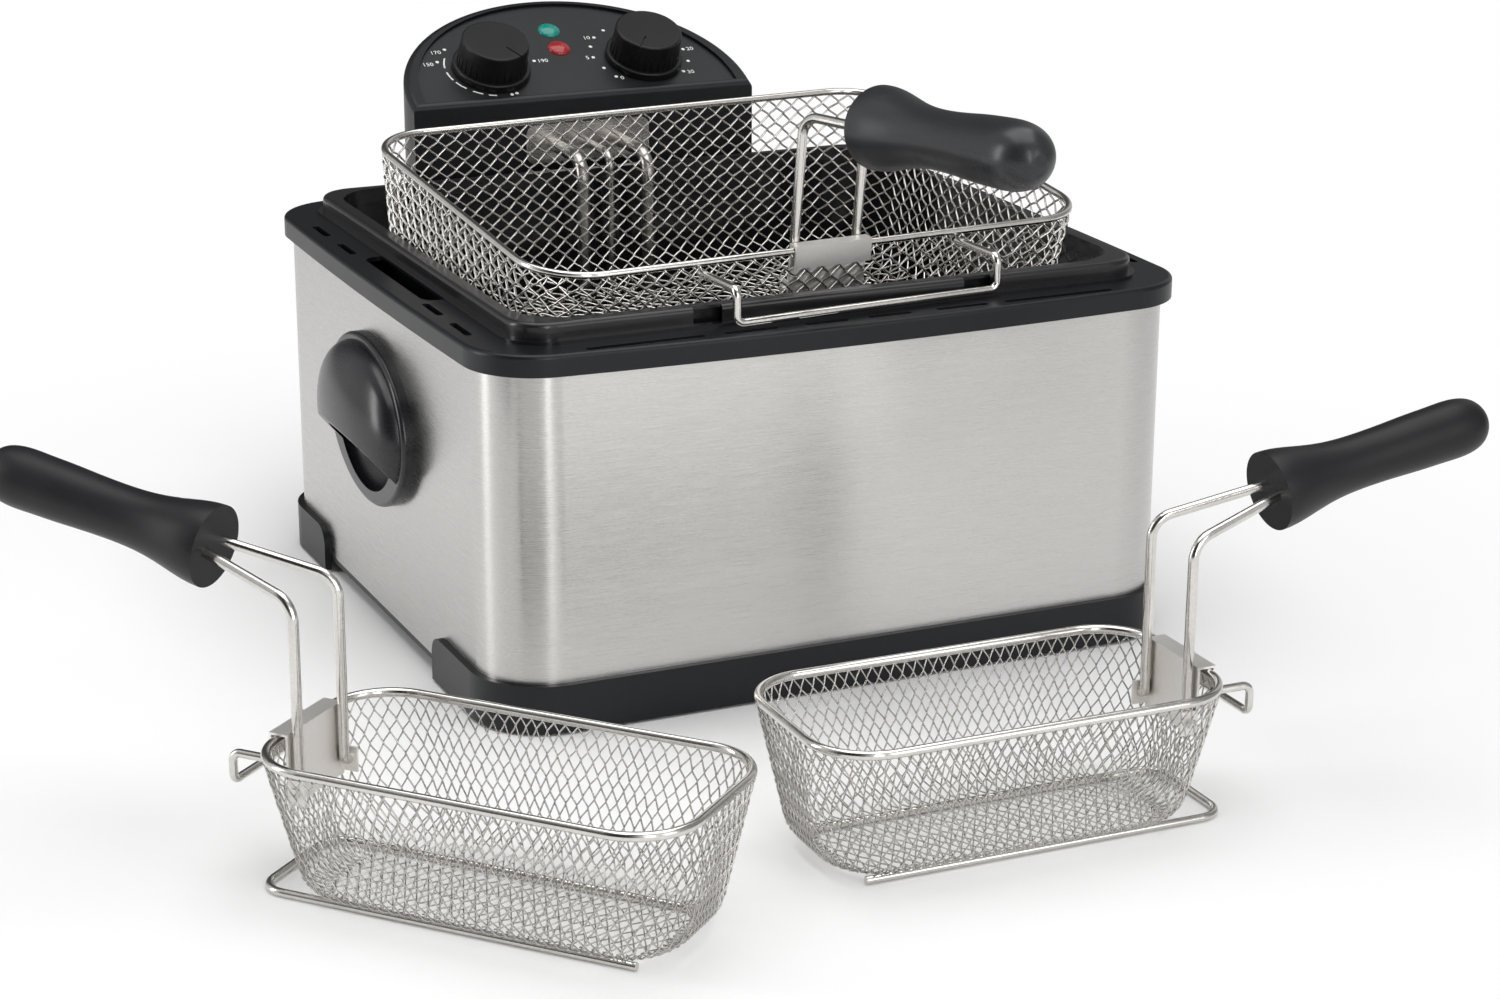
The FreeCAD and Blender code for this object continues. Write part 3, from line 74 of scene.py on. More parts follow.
@dataclass(frozen=True)
class Finish:
    """A procedural surface: cloudy colour, fine grain, varied gloss and light wear.

    Attributes:
        name: name of the finish.
        dark: colour of the darker patches.
        light: colour of the lighter patches.
        metallic: 0 for plastics, 1 for metals.
        gloss: lowest and highest roughness.
        grain: noise scale of the fine grain, per metre.
        cloud: noise scale of the slow variation, per metre.
        relief: bump strength of the grain.
        depth: bump height of the grain in metres.
        brushing: direction in which the grain is drawn out.
        specular: specular level of the surface.
        coat: weight of a clear coat.
        coat_roughness: roughness of the clear coat.
        glow: strength of its own light.
        clear: share of light that passes through.
        drawn: how far brushing draws the highlights out across its lines.
        patches: noise values at which the dark and the light patches are full.
        drawn_turn: turn of the drawn-out highlights, as a share of a full turn.
        cloud_detail: octaves of the slow variation.
        grain_detail: octaves of the fine grain.
    """

    name: str
    dark: Colour
    light: Colour
    metallic: float = 0.0
    gloss: tuple[float, float] = (0.35, 0.5)
    grain: float = 1400.0
    cloud: float = 14.0
    relief: float = 0.12
    depth: float = 0.0001
    brushing: Brushing = Brushing.NONE
    specular: float = 0.5
    coat: float = 0.0
    coat_roughness: float = 0.1
    glow: float = 0.0
    clear: float = 0.0
    drawn: float = 0.0
    patches: tuple[float, float] = (0.3, 0.7)
    drawn_turn: float = 0.25
    cloud_detail: float = 3.0
    grain_detail: float = 4.0

    def build(self) -> bpy.types.Material:
        """Make the material.

        Returns:
            The new material, its nodes reading the object's own coordinates.
        """
        material = bpy.data.materials.new("finish_" + self.name)
        material.use_nodes = True
        tree = material.node_tree
        shader = tree.nodes["Principled BSDF"]
        place = tree.nodes.new("ShaderNodeTexCoord").outputs["Object"]
        grain = self._grain(tree, place)
        cloud = self._noise(tree, place, self.cloud, self.cloud_detail)
        self._colour(tree, shader, grain, cloud)
        self._roughness(tree, shader, grain, cloud)
        bump = tree.nodes.new("ShaderNodeBump")
        bump.inputs["Strength"].default_value = self.relief
        bump.inputs["Distance"].default_value = self.depth
        tree.links.new(grain, bump.inputs["Height"])
        tree.links.new(bump.outputs["Normal"], shader.inputs["Normal"])
        shader.inputs["Metallic"].default_value = self.metallic
        shader.inputs["Specular IOR Level"].default_value = self.specular
        shader.inputs["Coat Weight"].default_value = self.coat
        shader.inputs["Coat Roughness"].default_value = self.coat_roughness
        shader.inputs["Transmission Weight"].default_value = self.clear
        shader.inputs["Anisotropic"].default_value = self.drawn
        shader.inputs["Anisotropic Rotation"].default_value = self.drawn_turn
        if self.drawn:
            tangent = tree.nodes.new("ShaderNodeTangent")
            tangent.direction_type = "RADIAL"
            tangent.axis = "Z"
            tree.links.new(tangent.outputs["Tangent"], shader.inputs["Tangent"])
        shader.inputs["Emission Color"].default_value = (*self.light, 1.0)
        shader.inputs["Emission Strength"].default_value = self.glow
        return material

    @staticmethod
    def _noise(tree: bpy.types.NodeTree, place: bpy.types.NodeSocket, scale: float,
               detail: float) -> bpy.types.NodeSocket:
        """Add a noise texture.

        Args:
            tree: node tree of the material.
            place: coordinates to read.
            scale: noise scale per metre.
            detail: number of octaves.

        Returns:
            The socket of the noise value.
        """
        noise = tree.nodes.new("ShaderNodeTexNoise")
        noise.inputs["Scale"].default_value = scale
        noise.inputs["Detail"].default_value = detail
        tree.links.new(place, noise.inputs["Vector"])
        return noise.outputs["Fac"]

    def _grain(self, tree: bpy.types.NodeTree, place: bpy.types.NodeSocket) -> bpy.types.NodeSocket:
        """Add the fine grain, drawn out along the brushing.

        Args:
            tree: node tree of the material.
            place: coordinates to read.

        Returns:
            The socket of the grain value.
        """
        mapping = tree.nodes.new("ShaderNodeMapping")
        mapping.inputs["Scale"].default_value = self.brushing.value
        tree.links.new(place, mapping.inputs["Vector"])
        return self._noise(tree, mapping.outputs["Vector"], self.grain, self.grain_detail)

    def _mixed(self, tree: bpy.types.NodeTree, grain: bpy.types.NodeSocket,
               cloud: bpy.types.NodeSocket) -> bpy.types.NodeSocket:
        """Average the grain and the slow variation.

        Args:
            tree: node tree of the material.
            grain: value of the grain.
            cloud: value of the slow variation.

        Returns:
            The socket of the average.
        """
        both = tree.nodes.new("ShaderNodeMix")
        both.inputs["Factor"].default_value = 0.5
        tree.links.new(grain, both.inputs[2])
        tree.links.new(cloud, both.inputs[3])
        return both.outputs[0]

    def _colour(self, tree: bpy.types.NodeTree, shader: bpy.types.Node, grain: bpy.types.NodeSocket,
                cloud: bpy.types.NodeSocket) -> None:
        """Link the varied colour.

        Args:
            tree: node tree of the material.
            shader: the surface shader.
            grain: value of the grain.
            cloud: value of the slow variation.
        """
        ramp = tree.nodes.new("ShaderNodeValToRGB")
        ramp.color_ramp.elements[0].position = self.patches[0]
        ramp.color_ramp.elements[0].color = (*self.dark, 1.0)
        ramp.color_ramp.elements[1].position = self.patches[1]
        ramp.color_ramp.elements[1].color = (*self.light, 1.0)
        tree.links.new(self._mixed(tree, grain, cloud), ramp.inputs["Fac"])
        tree.links.new(ramp.outputs["Color"], shader.inputs["Base Color"])

    def _roughness(self, tree: bpy.types.NodeTree, shader: bpy.types.Node, grain: bpy.types.NodeSocket,
                   cloud: bpy.types.NodeSocket) -> None:
        """Link the varied roughness.

        Args:
            tree: node tree of the material.
            shader: the surface shader.
            grain: value of the grain.
            cloud: value of the slow variation.
        """
        spread = tree.nodes.new("ShaderNodeMapRange")
        spread.inputs["From Min"].default_value = self.patches[0]
        spread.inputs["From Max"].default_value = self.patches[1]
        spread.inputs["To Min"].default_value = self.gloss[0]
        spread.inputs["To Max"].default_value = self.gloss[1]
        tree.links.new(self._mixed(tree, grain, cloud), spread.inputs["Value"])
        tree.links.new(spread.outputs["Result"], shader.inputs["Roughness"])


@dataclass(frozen=True)
class PotEnamel(Finish):
    """Black enamel that is glossy in the tub and satin on the rim.

    Attributes:
        rim_level: height above which the surface is satin, in metres.
        rim_blend: height over which the gloss changes, in metres.
        rim_roughness: roughness of the satin rim.
    """

    rim_level: float = 0.204
    rim_blend: float = 0.002
    rim_roughness: float = 0.30

    def _roughness(self, tree: bpy.types.NodeTree, shader: bpy.types.Node, grain: bpy.types.NodeSocket,
                   cloud: bpy.types.NodeSocket) -> None:
        """Link a roughness that changes at the rim.

        Args:
            tree: node tree of the material.
            shader: the surface shader.
            grain: value of the grain.
            cloud: value of the slow variation.
        """
        super()._roughness(tree, shader, grain, cloud)
        inner = shader.inputs["Roughness"].links[0].from_socket
        place = tree.nodes.new("ShaderNodeTexCoord").outputs["Object"]
        parts = tree.nodes.new("ShaderNodeSeparateXYZ")
        tree.links.new(place, parts.inputs["Vector"])
        step = tree.nodes.new("ShaderNodeMapRange")
        step.inputs["From Min"].default_value = self.rim_level - self.rim_blend
        step.inputs["From Max"].default_value = self.rim_level
        tree.links.new(parts.outputs["Z"], step.inputs["Value"])
        mix = tree.nodes.new("ShaderNodeMix")
        tree.links.new(step.outputs["Result"], mix.inputs["Factor"])
        tree.links.new(inner, mix.inputs[2])
        mix.inputs[3].default_value = self.rim_roughness
        tree.links.new(mix.outputs[0], shader.inputs["Roughness"])


FINISHES: tuple[Finish, ...] = (
    Finish("casing_steel", (0.53, 0.52, 0.505), (0.62, 0.61, 0.595), metallic=1.0, gloss=(0.24, 0.31),
           grain=3600.0, cloud=3.0, relief=0.035, depth=0.00005, brushing=Brushing.LEVEL, drawn=0.85),
    Finish("body_plastic", (0.004, 0.0045, 0.006), (0.009, 0.010, 0.012), gloss=(0.30, 0.40),
           grain=1800.0, relief=0.10, specular=0.32),
    PotEnamel("pot_enamel", (0.006, 0.006, 0.007), (0.014, 0.014, 0.016), gloss=(0.10, 0.20), grain=700.0,
              relief=0.05, specular=0.35, coat=0.25, coat_roughness=0.06),
    Finish("panel_plastic", (0.011, 0.012, 0.013), (0.018, 0.019, 0.021), gloss=(0.34, 0.46),
           grain=2400.0, relief=0.10, specular=0.35),
    Finish("knob_plastic", (0.004, 0.004, 0.005), (0.009, 0.009, 0.010), gloss=(0.30, 0.42), grain=1900.0,
           specular=0.30),
    Finish("grip_plastic", (0.005, 0.005, 0.006), (0.011, 0.011, 0.013), gloss=(0.36, 0.48), grain=1600.0,
           relief=0.15, specular=0.32),
    Finish("mesh_steel", (0.42, 0.405, 0.385), (0.62, 0.60, 0.575), metallic=1.0, gloss=(0.16, 0.28),
           grain=900.0, cloud=40.0),
    # Painted sheen: the same plastic as grip_plastic, lighter in colour to stand in for the grey sheen of
    # light on the large grip; it is also glossier.
    Finish("large_grip_painted_sheen", (0.016, 0.017, 0.019), (0.028, 0.029, 0.032), gloss=(0.26, 0.36), grain=1600.0,
           relief=0.12, specular=0.45),
    # Painted highlight: the same wire steel as the small baskets' mesh_steel, made lighter on the large
    # basket to stand in for the brighter light on its wires.
    Finish("large_mesh_painted_highlight", (0.66, 0.64, 0.61), (0.84, 0.82, 0.79), metallic=1.0, gloss=(0.14, 0.26),
           grain=900.0, cloud=40.0),
    Finish("wire_steel", (0.58, 0.56, 0.53), (0.76, 0.74, 0.71), metallic=1.0, gloss=(0.10, 0.22),
           grain=600.0, cloud=30.0, relief=0.02),
    Finish("bracket_sheet", (0.84, 0.82, 0.79), (0.92, 0.90, 0.87), metallic=1.0, gloss=(0.40, 0.50),
           grain=900.0, cloud=20.0, relief=0.02),
    Finish("handle_plastic", (0.009, 0.009, 0.011), (0.016, 0.016, 0.019), gloss=(0.22, 0.32),
           grain=1600.0, relief=0.06, specular=0.5),
    Finish("element_steel", (0.36, 0.34, 0.32), (0.60, 0.58, 0.55), metallic=1.0, gloss=(0.22, 0.38),
           grain=500.0, cloud=25.0),
    Finish("bracket_steel", (0.55, 0.53, 0.50), (0.74, 0.72, 0.69), metallic=1.0, gloss=(0.18, 0.32),
           grain=2200.0, brushing=Brushing.LEVEL),
    Finish("foot_rubber", (0.012, 0.012, 0.012), (0.030, 0.030, 0.030), gloss=(0.70, 0.85), grain=900.0,
           relief=0.3),
    Finish("screw_steel", (0.42, 0.42, 0.42), (0.62, 0.62, 0.62), metallic=1.0, gloss=(0.25, 0.40),
           grain=1500.0),
    Finish("shaft_steel", (0.50, 0.50, 0.50), (0.70, 0.70, 0.70), metallic=1.0, gloss=(0.20, 0.35),
           grain=1500.0),
    Finish("green_lens", (0.005, 0.17, 0.14), (0.015, 0.30, 0.25), gloss=(0.10, 0.22), grain=500.0,
           relief=0.3, glow=0.04),
    Finish("red_lens", (0.26, 0.012, 0.014), (0.42, 0.030, 0.032), gloss=(0.10, 0.22), grain=500.0,
           relief=0.3, glow=0.03),
    Finish("lamp_glass", (0.70, 0.70, 0.68), (0.86, 0.86, 0.84), gloss=(0.05, 0.12), clear=0.6),
    Finish("pin_brass", (0.58, 0.40, 0.16), (0.76, 0.56, 0.26), metallic=1.0, gloss=(0.20, 0.35)),
    Finish("cutout_ceramic", (0.72, 0.69, 0.63), (0.84, 0.81, 0.76), gloss=(0.45, 0.60), relief=0.2),
    Finish("inner_plastic", (0.10, 0.10, 0.11), (0.18, 0.18, 0.19), gloss=(0.45, 0.60)),
    Finish("panel_print", (0.74, 0.74, 0.73), (0.86, 0.86, 0.85), gloss=(0.45, 0.60), grain=3000.0,
           relief=0.05),
)


OWN_FINISH: dict[str, str] = {
    # The large grip gets a lighter copy of the grip plastic, a painted sheen.
    "large_basket_grip": "large_grip_painted_sheen",
    **{side + "_side_handle": "handle_plastic" for side in ("left", "right")},
    **{basket + "_basket_bracket": "bracket_sheet" for basket in ("large", "left", "right")},
}


class Palette:
    """The finished materials by name."""

    def __init__(self) -> None:
        """Build every finish once."""
        self.materials = {finish.name: finish.build() for finish in FINISHES}

    def dress(self, nodes: dict[str, bpy.types.Object]) -> None:
        """Give every CAD node its own finish, or else the finish of its slot.

        Args:
            nodes: the frame's node objects by name.
        """
        for name, node in nodes.items():
            for slot in node.material_slots:
                slot.material = self.materials[OWN_FINISH.get(name, slot.material.name.split(".")[0])]

    def paint(self, piece: bpy.types.Object, slot: str) -> None:
        """Give one new piece a finish.

        Args:
            piece: the piece.
            slot: name of the finish.
        """
        piece.data.materials.clear()
        piece.data.materials.append(self.materials[slot])


def new_piece(name: str, points: np.ndarray, faces: list[tuple[int, ...]]) -> bpy.types.Object:
    """Make a smooth mesh object from computed points.

    Args:
        name: name of the piece.
        points: points in metres in the row frame.
        faces: corner numbers of each face, outward.

    Returns:
        The new object, linked to the scene.
    """
    mesh = bpy.data.meshes.new(name)
    mesh.from_pydata(points.tolist(), [], faces)
    mesh.polygons.foreach_set("use_smooth", [True] * len(mesh.polygons))
    mesh.update()
    piece = bpy.data.objects.new(name, mesh)
    bpy.context.scene.collection.objects.link(piece)
    return piece


class TubeMesh:
    """Collects many thin wires as closed tubes in one mesh."""

    def __init__(self, radius: float, sides: int) -> None:
        """Start an empty collection.

        Args:
            radius: wire radius.
            sides: number of faces round a wire.
        """
        self.radius = radius
        self.sides = sides
        self.points: list[np.ndarray] = []
        self.faces: list[tuple[int, ...]] = []
        self.count = 0

    def add(self, path: np.ndarray, normal: np.ndarray) -> None:
        """Add one wire.

        Args:
            path: points along the wire's middle.
            normal: direction out of the woven sheet at each point.
        """
        along = np.gradient(path, axis=0)
        along /= np.linalg.norm(along, axis=1, keepdims=True)
        across = np.cross(along, normal)
        across /= np.linalg.norm(across, axis=1, keepdims=True)
        out = np.cross(across, along)
        turns = np.arange(self.sides) * 2.0 * math.pi / self.sides
        rings = path[:, None, :] + self.radius * (np.cos(turns)[None, :, None] * out[:, None, :]
                                                  + np.sin(turns)[None, :, None] * across[:, None, :])
        self.points.append(rings.reshape(-1, 3))
        for ring in range(len(path) - 1):
            low = self.count + ring * self.sides
            high = low + self.sides
            for side in range(self.sides):
                after = (side + 1) % self.sides
                self.faces.append((low + side, high + side, high + after, low + after))
        last = self.count + (len(path) - 1) * self.sides
        self.faces.append(tuple(self.count + side for side in range(self.sides)))
        self.faces.append(tuple(last + side for side in reversed(range(self.sides))))
        self.count += len(path) * self.sides


@dataclass
class WireTub:
    """The woven wire tub of a basket, as one sheet drawn into a tapered tub with round corners.

    Sizes are in millimetres, in the basket's own frame: the rim's middle is the origin.

    Attributes:
        name: the basket's name.
        width: outer size along the basket's X.
        depth: outer size along the basket's Y.
        corner: corner radius seen from above.
        top: level of the upper end of the mesh.
        height: depth of the floor below the rim.
        taper: how far each wall leans in.
        bend: radius between wall and floor.
        cell: width and height of one mesh cell.
        place: matrix from the basket's frame, in metres, to the row frame.
        wire: wire diameter.
        knot: length of the twist where two wires meet.
        wall: thickness of the sheet.
        twist: how far wires pass each other in a knot, as a share of the wire.
        weave: how far crossing wires stand off the sheet, as a share of the wire.
        start: distance down the wall at which the wires begin, under the rim wire.
        fine: points for each row of the floor.
        sides: faces round a wire.
        finish: name of its finish.
    """

    name: str
    width: float
    depth: float
    corner: float
    top: float
    height: float
    taper: float
    bend: float
    cell: tuple[float, float]
    place: Matrix
    wire: float = 0.95
    knot: float = 1.5
    wall: float = 1.0
    twist: float = 0.4
    weave: float = 0.42
    start: float = -1.0
    fine: int = 4
    sides: int = 5
    finish: str = "mesh_steel"

    def __post_init__(self) -> None:
        """Work out the lean of the walls and the run from rim to floor."""
        self.half_x = self.width / 2 - self.wall
        self.half_y = self.depth / 2 - self.wall
        self.floor = -self.height + self.wall / 2
        drop = self.top - self.floor
        self.lean = math.atan2(self.taper, drop)
        self.tangent = self.bend * math.cos(self.lean) / (1.0 + math.sin(self.lean))
        self.wall_run = math.hypot(self.taper, drop) - self.tangent
        self.bend_run = self.bend * (math.pi / 2 - self.lean)
        self.bend_inset = self.taper - self.tangent * math.sin(self.lean)
        self.floor_inset = self.taper + self.tangent

    def profile(self, run: np.ndarray) -> tuple[np.ndarray, np.ndarray, np.ndarray]:
        """Follow the wall down from the rim.

        Args:
            run: distances down the wall.

        Returns:
            How far the wall has moved in, its level and the angle of its outward normal below level.
        """
        turn = np.clip((run - self.wall_run) / self.bend, 0.0, None)
        angle = self.lean + turn
        straight = np.minimum(run, self.wall_run)
        inset = np.where(turn > 0, self.floor_inset - self.bend * np.cos(angle),
                         straight * math.sin(self.lean))
        level = np.where(turn > 0, self.floor + self.bend * (1.0 - np.sin(angle)),
                         self.top - straight * math.cos(self.lean))
        return inset, level, angle

    def surface(self, share: np.ndarray, run: np.ndarray) -> tuple[np.ndarray, np.ndarray]:
        """Find points on the wall.

        Args:
            share: distances round the rim.
            run: distances down the wall.

        Returns:
            The points and the outward normals.
        """
        inset, level, angle = self.profile(run)
        shift = np.minimum(inset, self.bend_inset)
        radius = self.corner - (inset - shift)
        flat_x = self.half_x - self.corner
        flat_y = self.half_y - self.corner
        arc = self.corner * math.pi / 2
        lengths = np.array([2 * flat_x, arc, 2 * flat_y, arc] * 2)
        starts = np.concatenate([[0.0], np.cumsum(lengths)])
        share = np.mod(share, starts[-1])
        part = np.clip(np.searchsorted(starts, share, side="right") - 1, 0, 7)
        done = (share - starts[part]) / lengths[part]
        quarter = part // 2
        turned = quarter * math.pi / 2 + np.where(part % 2 == 1, done * math.pi / 2, 0.0)
        facing_x = np.sin(turned)
        facing_y = -np.cos(turned)
        along = np.where(part % 2 == 0, 2 * done - 1, 1.0)
        sign_x = np.choose(quarter, [along, 1.0, -along, -1.0])
        sign_y = np.choose(quarter, [-1.0, along, 1.0, -along])
        x = sign_x * (flat_x - shift) + facing_x * radius
        y = sign_y * (flat_y - shift) + facing_y * radius
        normal = np.stack([facing_x * np.cos(angle), facing_y * np.cos(angle), -np.sin(angle)], axis=-1)
        return np.stack([x, y, level], axis=-1), normal

    def girth(self) -> float:
        """Measure round the rim.

        Returns:
            The length round the mesh at the rim.
        """
        return 4 * (self.half_x + self.half_y - 2 * self.corner) + 2 * math.pi * self.corner

    def unevenness(self, column: np.ndarray, row: np.ndarray) -> np.ndarray:
        """Give the hand-formed sheet its small irregularities.

        Args:
            column: column numbers of the knots.
            row: row numbers of the knots.

        Returns:
            Small offsets along the rim.
        """
        return 0.3 * np.sin(12.9898 * column + 4.1414 * row) + 0.5 * np.sin(0.37 * column + 0.21 * row)

    def walls(self, tubes: TubeMesh) -> None:
        """Add the wires of the walls.

        Args:
            tubes: mesh that collects the wires.
        """
        columns = round(self.girth() / self.cell[0])
        step = self.girth() / columns
        rows = round(2 * (self.wall_run + self.bend_run) / self.cell[1])
        fall = (self.wall_run + self.bend_run) / rows
        row = np.repeat(np.arange(rows + 1), 2)
        half = np.tile([-1.0, 1.0], rows + 1)
        for family in (1, -1):
            for column in range(columns):
                knot = np.mod(2 * column + family * row, 2 * columns)
                share = (column + family * row / 2) * step + self.unevenness(knot, row)
                share = share + family * half * self.wire * self.twist
                run = np.clip(row * fall + half * self.knot / 2, self.start, self.wall_run + self.bend_run)
                run[0] = self.start
                points, normal = self.surface(share, run)
                lift = family * np.where(row % 2 == 0, 1.0, -1.0) * self.wire * self.weave
                tubes.add(points + normal * lift[:, None], normal)

    def inside_floor(self, x: np.ndarray, y: np.ndarray) -> np.ndarray:
        """Tell which points lie on the flat floor.

        Args:
            x: places along X.
            y: places along Y.

        Returns:
            True for points inside the floor's outline.
        """
        radius = max(self.corner - (self.floor_inset - self.bend_inset), 1.0)
        over_x = np.abs(x) - (self.half_x - self.floor_inset - radius)
        over_y = np.abs(y) - (self.half_y - self.floor_inset - radius)
        past_corner = np.hypot(np.maximum(over_x, 0), np.maximum(over_y, 0))
        past_edge = np.minimum(np.maximum(over_x, over_y), 0)
        return past_corner + past_edge <= radius

    def floor_wires(self, tubes: TubeMesh) -> None:
        """Add the wires of the floor.

        Args:
            tubes: mesh that collects the wires.
        """
        long_x = self.width > self.depth
        reach = max(self.width, self.depth)
        rows = int(reach / self.cell[1]) * 2
        columns = int(reach / self.cell[0]) + rows
        row = np.arange(-rows * self.fine, rows * self.fine + 1) / self.fine
        for family in (1, -1):
            for column in range(-columns, columns + 1):
                p = (column + family * row / 2) * self.cell[0]
                q = row * self.cell[1] / 2
                x, y = (p, q) if long_x else (q, p)
                kept = np.flatnonzero(self.inside_floor(x, y))
                if len(kept) < 3:
                    continue
                bends = kept[np.mod(kept, self.fine // 2) == 0]
                kept = np.unique(np.concatenate([kept[:1], bends, kept[-1:]]))
                lift = family * np.cos(math.pi * row[kept]) * self.wire * self.weave
                points = np.stack([x[kept], y[kept], np.full(len(kept), self.floor) - lift], axis=-1)
                tubes.add(points, np.tile([0.0, 0.0, -1.0], (len(kept), 1)))

    def build(self, palette: Palette, body: str) -> bpy.types.Object:
        """Make the woven tub and put it in place of the plain one.

        Args:
            palette: the finished materials.
            body: the CAD body that it rides on.

        Returns:
            The woven tub.
        """
        tubes = TubeMesh(self.wire / 2, self.sides)
        self.walls(tubes)
        self.floor_wires(tubes)
        points = np.concatenate(tubes.points) * MM
        turn = np.array(self.place.to_3x3())
        points = points @ turn.T + np.array(self.place.translation)
        piece = new_piece(self.name + "_weave", points, tubes.faces)
        palette.paint(piece, self.finish)
        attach(piece, body)
        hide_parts(self.name + "_mesh")
        LOG.info("%s: %d faces", piece.name, len(tubes.faces))
        return piece


@dataclass
class PanelPrint:
    """The plain printed scale of the control panel: dashes, dots and numbers.

    Places are in millimetres on the panel, across and up the slope from the middle of its lower edge.

    Attributes:
        tilt: slope of the panel in degrees.
        origin: middle of the lower edge, in metres.
        thickness: thickness of the print in metres.
        dial: middle of the temperature knob.
        arc_radius: radius of the dashed arc.
        arc_width: width of the dashed arc.
        arc: angles between which each dash runs.
        dots: places of the dots.
        numbers: text and place of each number.
        number_height: height of a digit.
        letter_scale: type size for a digit of height 1.
        dot_radius: radius of a dot.
        dot_sides: sides of a dot.
        dash_steps: steps along a dash.
    """

    tilt: float = 26.0
    origin: Vector = FRYER_CENTRE + Vector((0.0, 0.187, 0.2495))
    thickness: float = 0.00012
    dial: tuple[float, float] = (-50.0, 36.5)
    arc_radius: float = 28.0
    arc_width: float = 0.95
    arc: tuple[tuple[float, float], ...] = (
        (173.0, 194.0), (199.0, 216.0), (221.0, 238.0), (243.0, 256.0), (260.0, 270.0))
    dots: tuple[tuple[float, float], ...] = (
        (-72.0, 58.5), (-80.5, 46.5), (-45.1, 8.9), (-41.8, 9.7), (-20.0, 40.5), (35.1, 66.6), (26.4, 59.8),
        (20.8, 50.8), (18.6, 39.6), (21.5, 28.1), (26.1, 18.6), (79.4, 41.2), (78.1, 28.8), (71.0, 18.6))
    numbers: tuple[tuple[str, float, float], ...] = (
        ("170", -78.5, 56.0), ("150", -87.0, 44.5), ("190", -14.5, 40.0), ("10", 21.5, 60.0),
        ("5", 14.8, 39.6), ("0", 29.5, 16.8), ("20", 84.0, 41.2), ("30", 75.5, 17.6))
    number_height: float = 3.4
    letter_scale: float = 1.4
    dot_radius: float = 1.15
    dot_sides: int = 20
    dash_steps: int = 8

    def matrix(self, x: float, up: float) -> Matrix:
        """Place something on the panel.

        Args:
            x: place across the panel.
            up: place up the slope.

        Returns:
            The matrix of that place, Z out of the panel.
        """
        turn = Matrix.Rotation(math.radians(self.tilt), 4, "X")
        return Matrix.Translation(self.origin) @ turn @ Matrix.Translation((x * MM, up * MM, 0.0))

    def dash(self, start: float, end: float) -> bpy.types.Object:
        """Draw one dash of the arc by spinning an edge round the dial.

        Args:
            start: angle at which it begins.
            end: angle at which it ends.

        Returns:
            The dash.
        """
        bpy.ops.object.select_all(action="DESELECT")
        bpy.ops.mesh.primitive_plane_add(size=1.0, location=(0.0, 0.0, 0.0))
        piece = bpy.context.active_object
        bpy.ops.object.mode_set(mode="EDIT")
        bpy.ops.mesh.delete(type="ONLY_FACE")
        bpy.ops.object.mode_set(mode="OBJECT")
        wide = self.arc_width * MM / 2
        radius = self.arc_radius * MM
        angle = math.radians(start)
        corners = ((-wide, 0.0), (wide, 0.0), (-wide, self.thickness), (wide, self.thickness))
        for vertex, (out, high) in zip(piece.data.vertices, corners):
            vertex.co = ((radius + out) * math.cos(angle), (radius + out) * math.sin(angle), high)
        bpy.ops.object.mode_set(mode="EDIT")
        bpy.ops.mesh.select_all(action="SELECT")
        bpy.ops.mesh.edge_face_add()
        bpy.ops.mesh.spin(steps=self.dash_steps, angle=math.radians(end - start), center=(0.0, 0.0, 0.0),
                          axis=(0.0, 0.0, 1.0), use_auto_merge=False)
        bpy.ops.mesh.select_all(action="SELECT")
        bpy.ops.mesh.normals_make_consistent(inside=False)
        bpy.ops.object.mode_set(mode="OBJECT")
        piece.data.transform(self.matrix(*self.dial))
        return piece

    def dot(self, x: float, up: float) -> bpy.types.Object:
        """Draw one dot with a softened edge.

        Args:
            x: place across the panel.
            up: place up the slope.

        Returns:
            The dot.
        """
        bpy.ops.object.select_all(action="DESELECT")
        bpy.ops.mesh.primitive_cylinder_add(vertices=self.dot_sides, radius=self.dot_radius * MM,
                                            depth=self.thickness, location=(0.0, 0.0, self.thickness / 2))
        piece = bpy.context.active_object
        bpy.ops.object.mode_set(mode="EDIT")
        bpy.ops.mesh.select_all(action="SELECT")
        bpy.ops.mesh.bevel(offset=self.thickness / 3, segments=1)
        bpy.ops.object.mode_set(mode="OBJECT")
        bpy.ops.object.transform_apply(location=True, rotation=True, scale=True)
        piece.data.transform(self.matrix(x, up))
        return piece

    def number(self, text: str, x: float, up: float) -> bpy.types.Object:
        """Write one number.

        Args:
            text: its digits.
            x: place of its middle across the panel.
            up: place of its middle up the slope.

        Returns:
            The number as a mesh.
        """
        bpy.ops.object.select_all(action="DESELECT")
        bpy.ops.object.text_add(location=(0.0, 0.0, 0.0))
        piece = bpy.context.active_object
        piece.data.body = text
        piece.data.size = self.number_height * MM * self.letter_scale
        piece.data.extrude = self.thickness / 2
        piece.data.resolution_u = 3
        piece.data.align_x = "CENTER"
        piece.data.align_y = "CENTER"
        bpy.ops.object.convert(target="MESH")
        piece = bpy.context.active_object
        piece.data.transform(self.matrix(x, up) @ Matrix.Translation((0.0, 0.0, self.thickness / 2)))
        return piece

    def build(self, palette: Palette) -> None:
        """Print the whole scale as one piece on the control unit.

        Args:
            palette: the finished materials.
        """
        marks = [self.dash(*angles) for angles in self.arc]
        marks += [self.dot(*place) for place in self.dots]
        marks += [self.number(*number) for number in self.numbers]
        bpy.ops.object.select_all(action="DESELECT")
        for mark in marks:
            mark.select_set(True)
        bpy.context.view_layer.objects.active = marks[0]
        bpy.ops.object.join()
        piece = bpy.context.active_object
        piece.name = "panel_scale_print"
        palette.paint(piece, "panel_print")
        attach(piece, "control_unit")


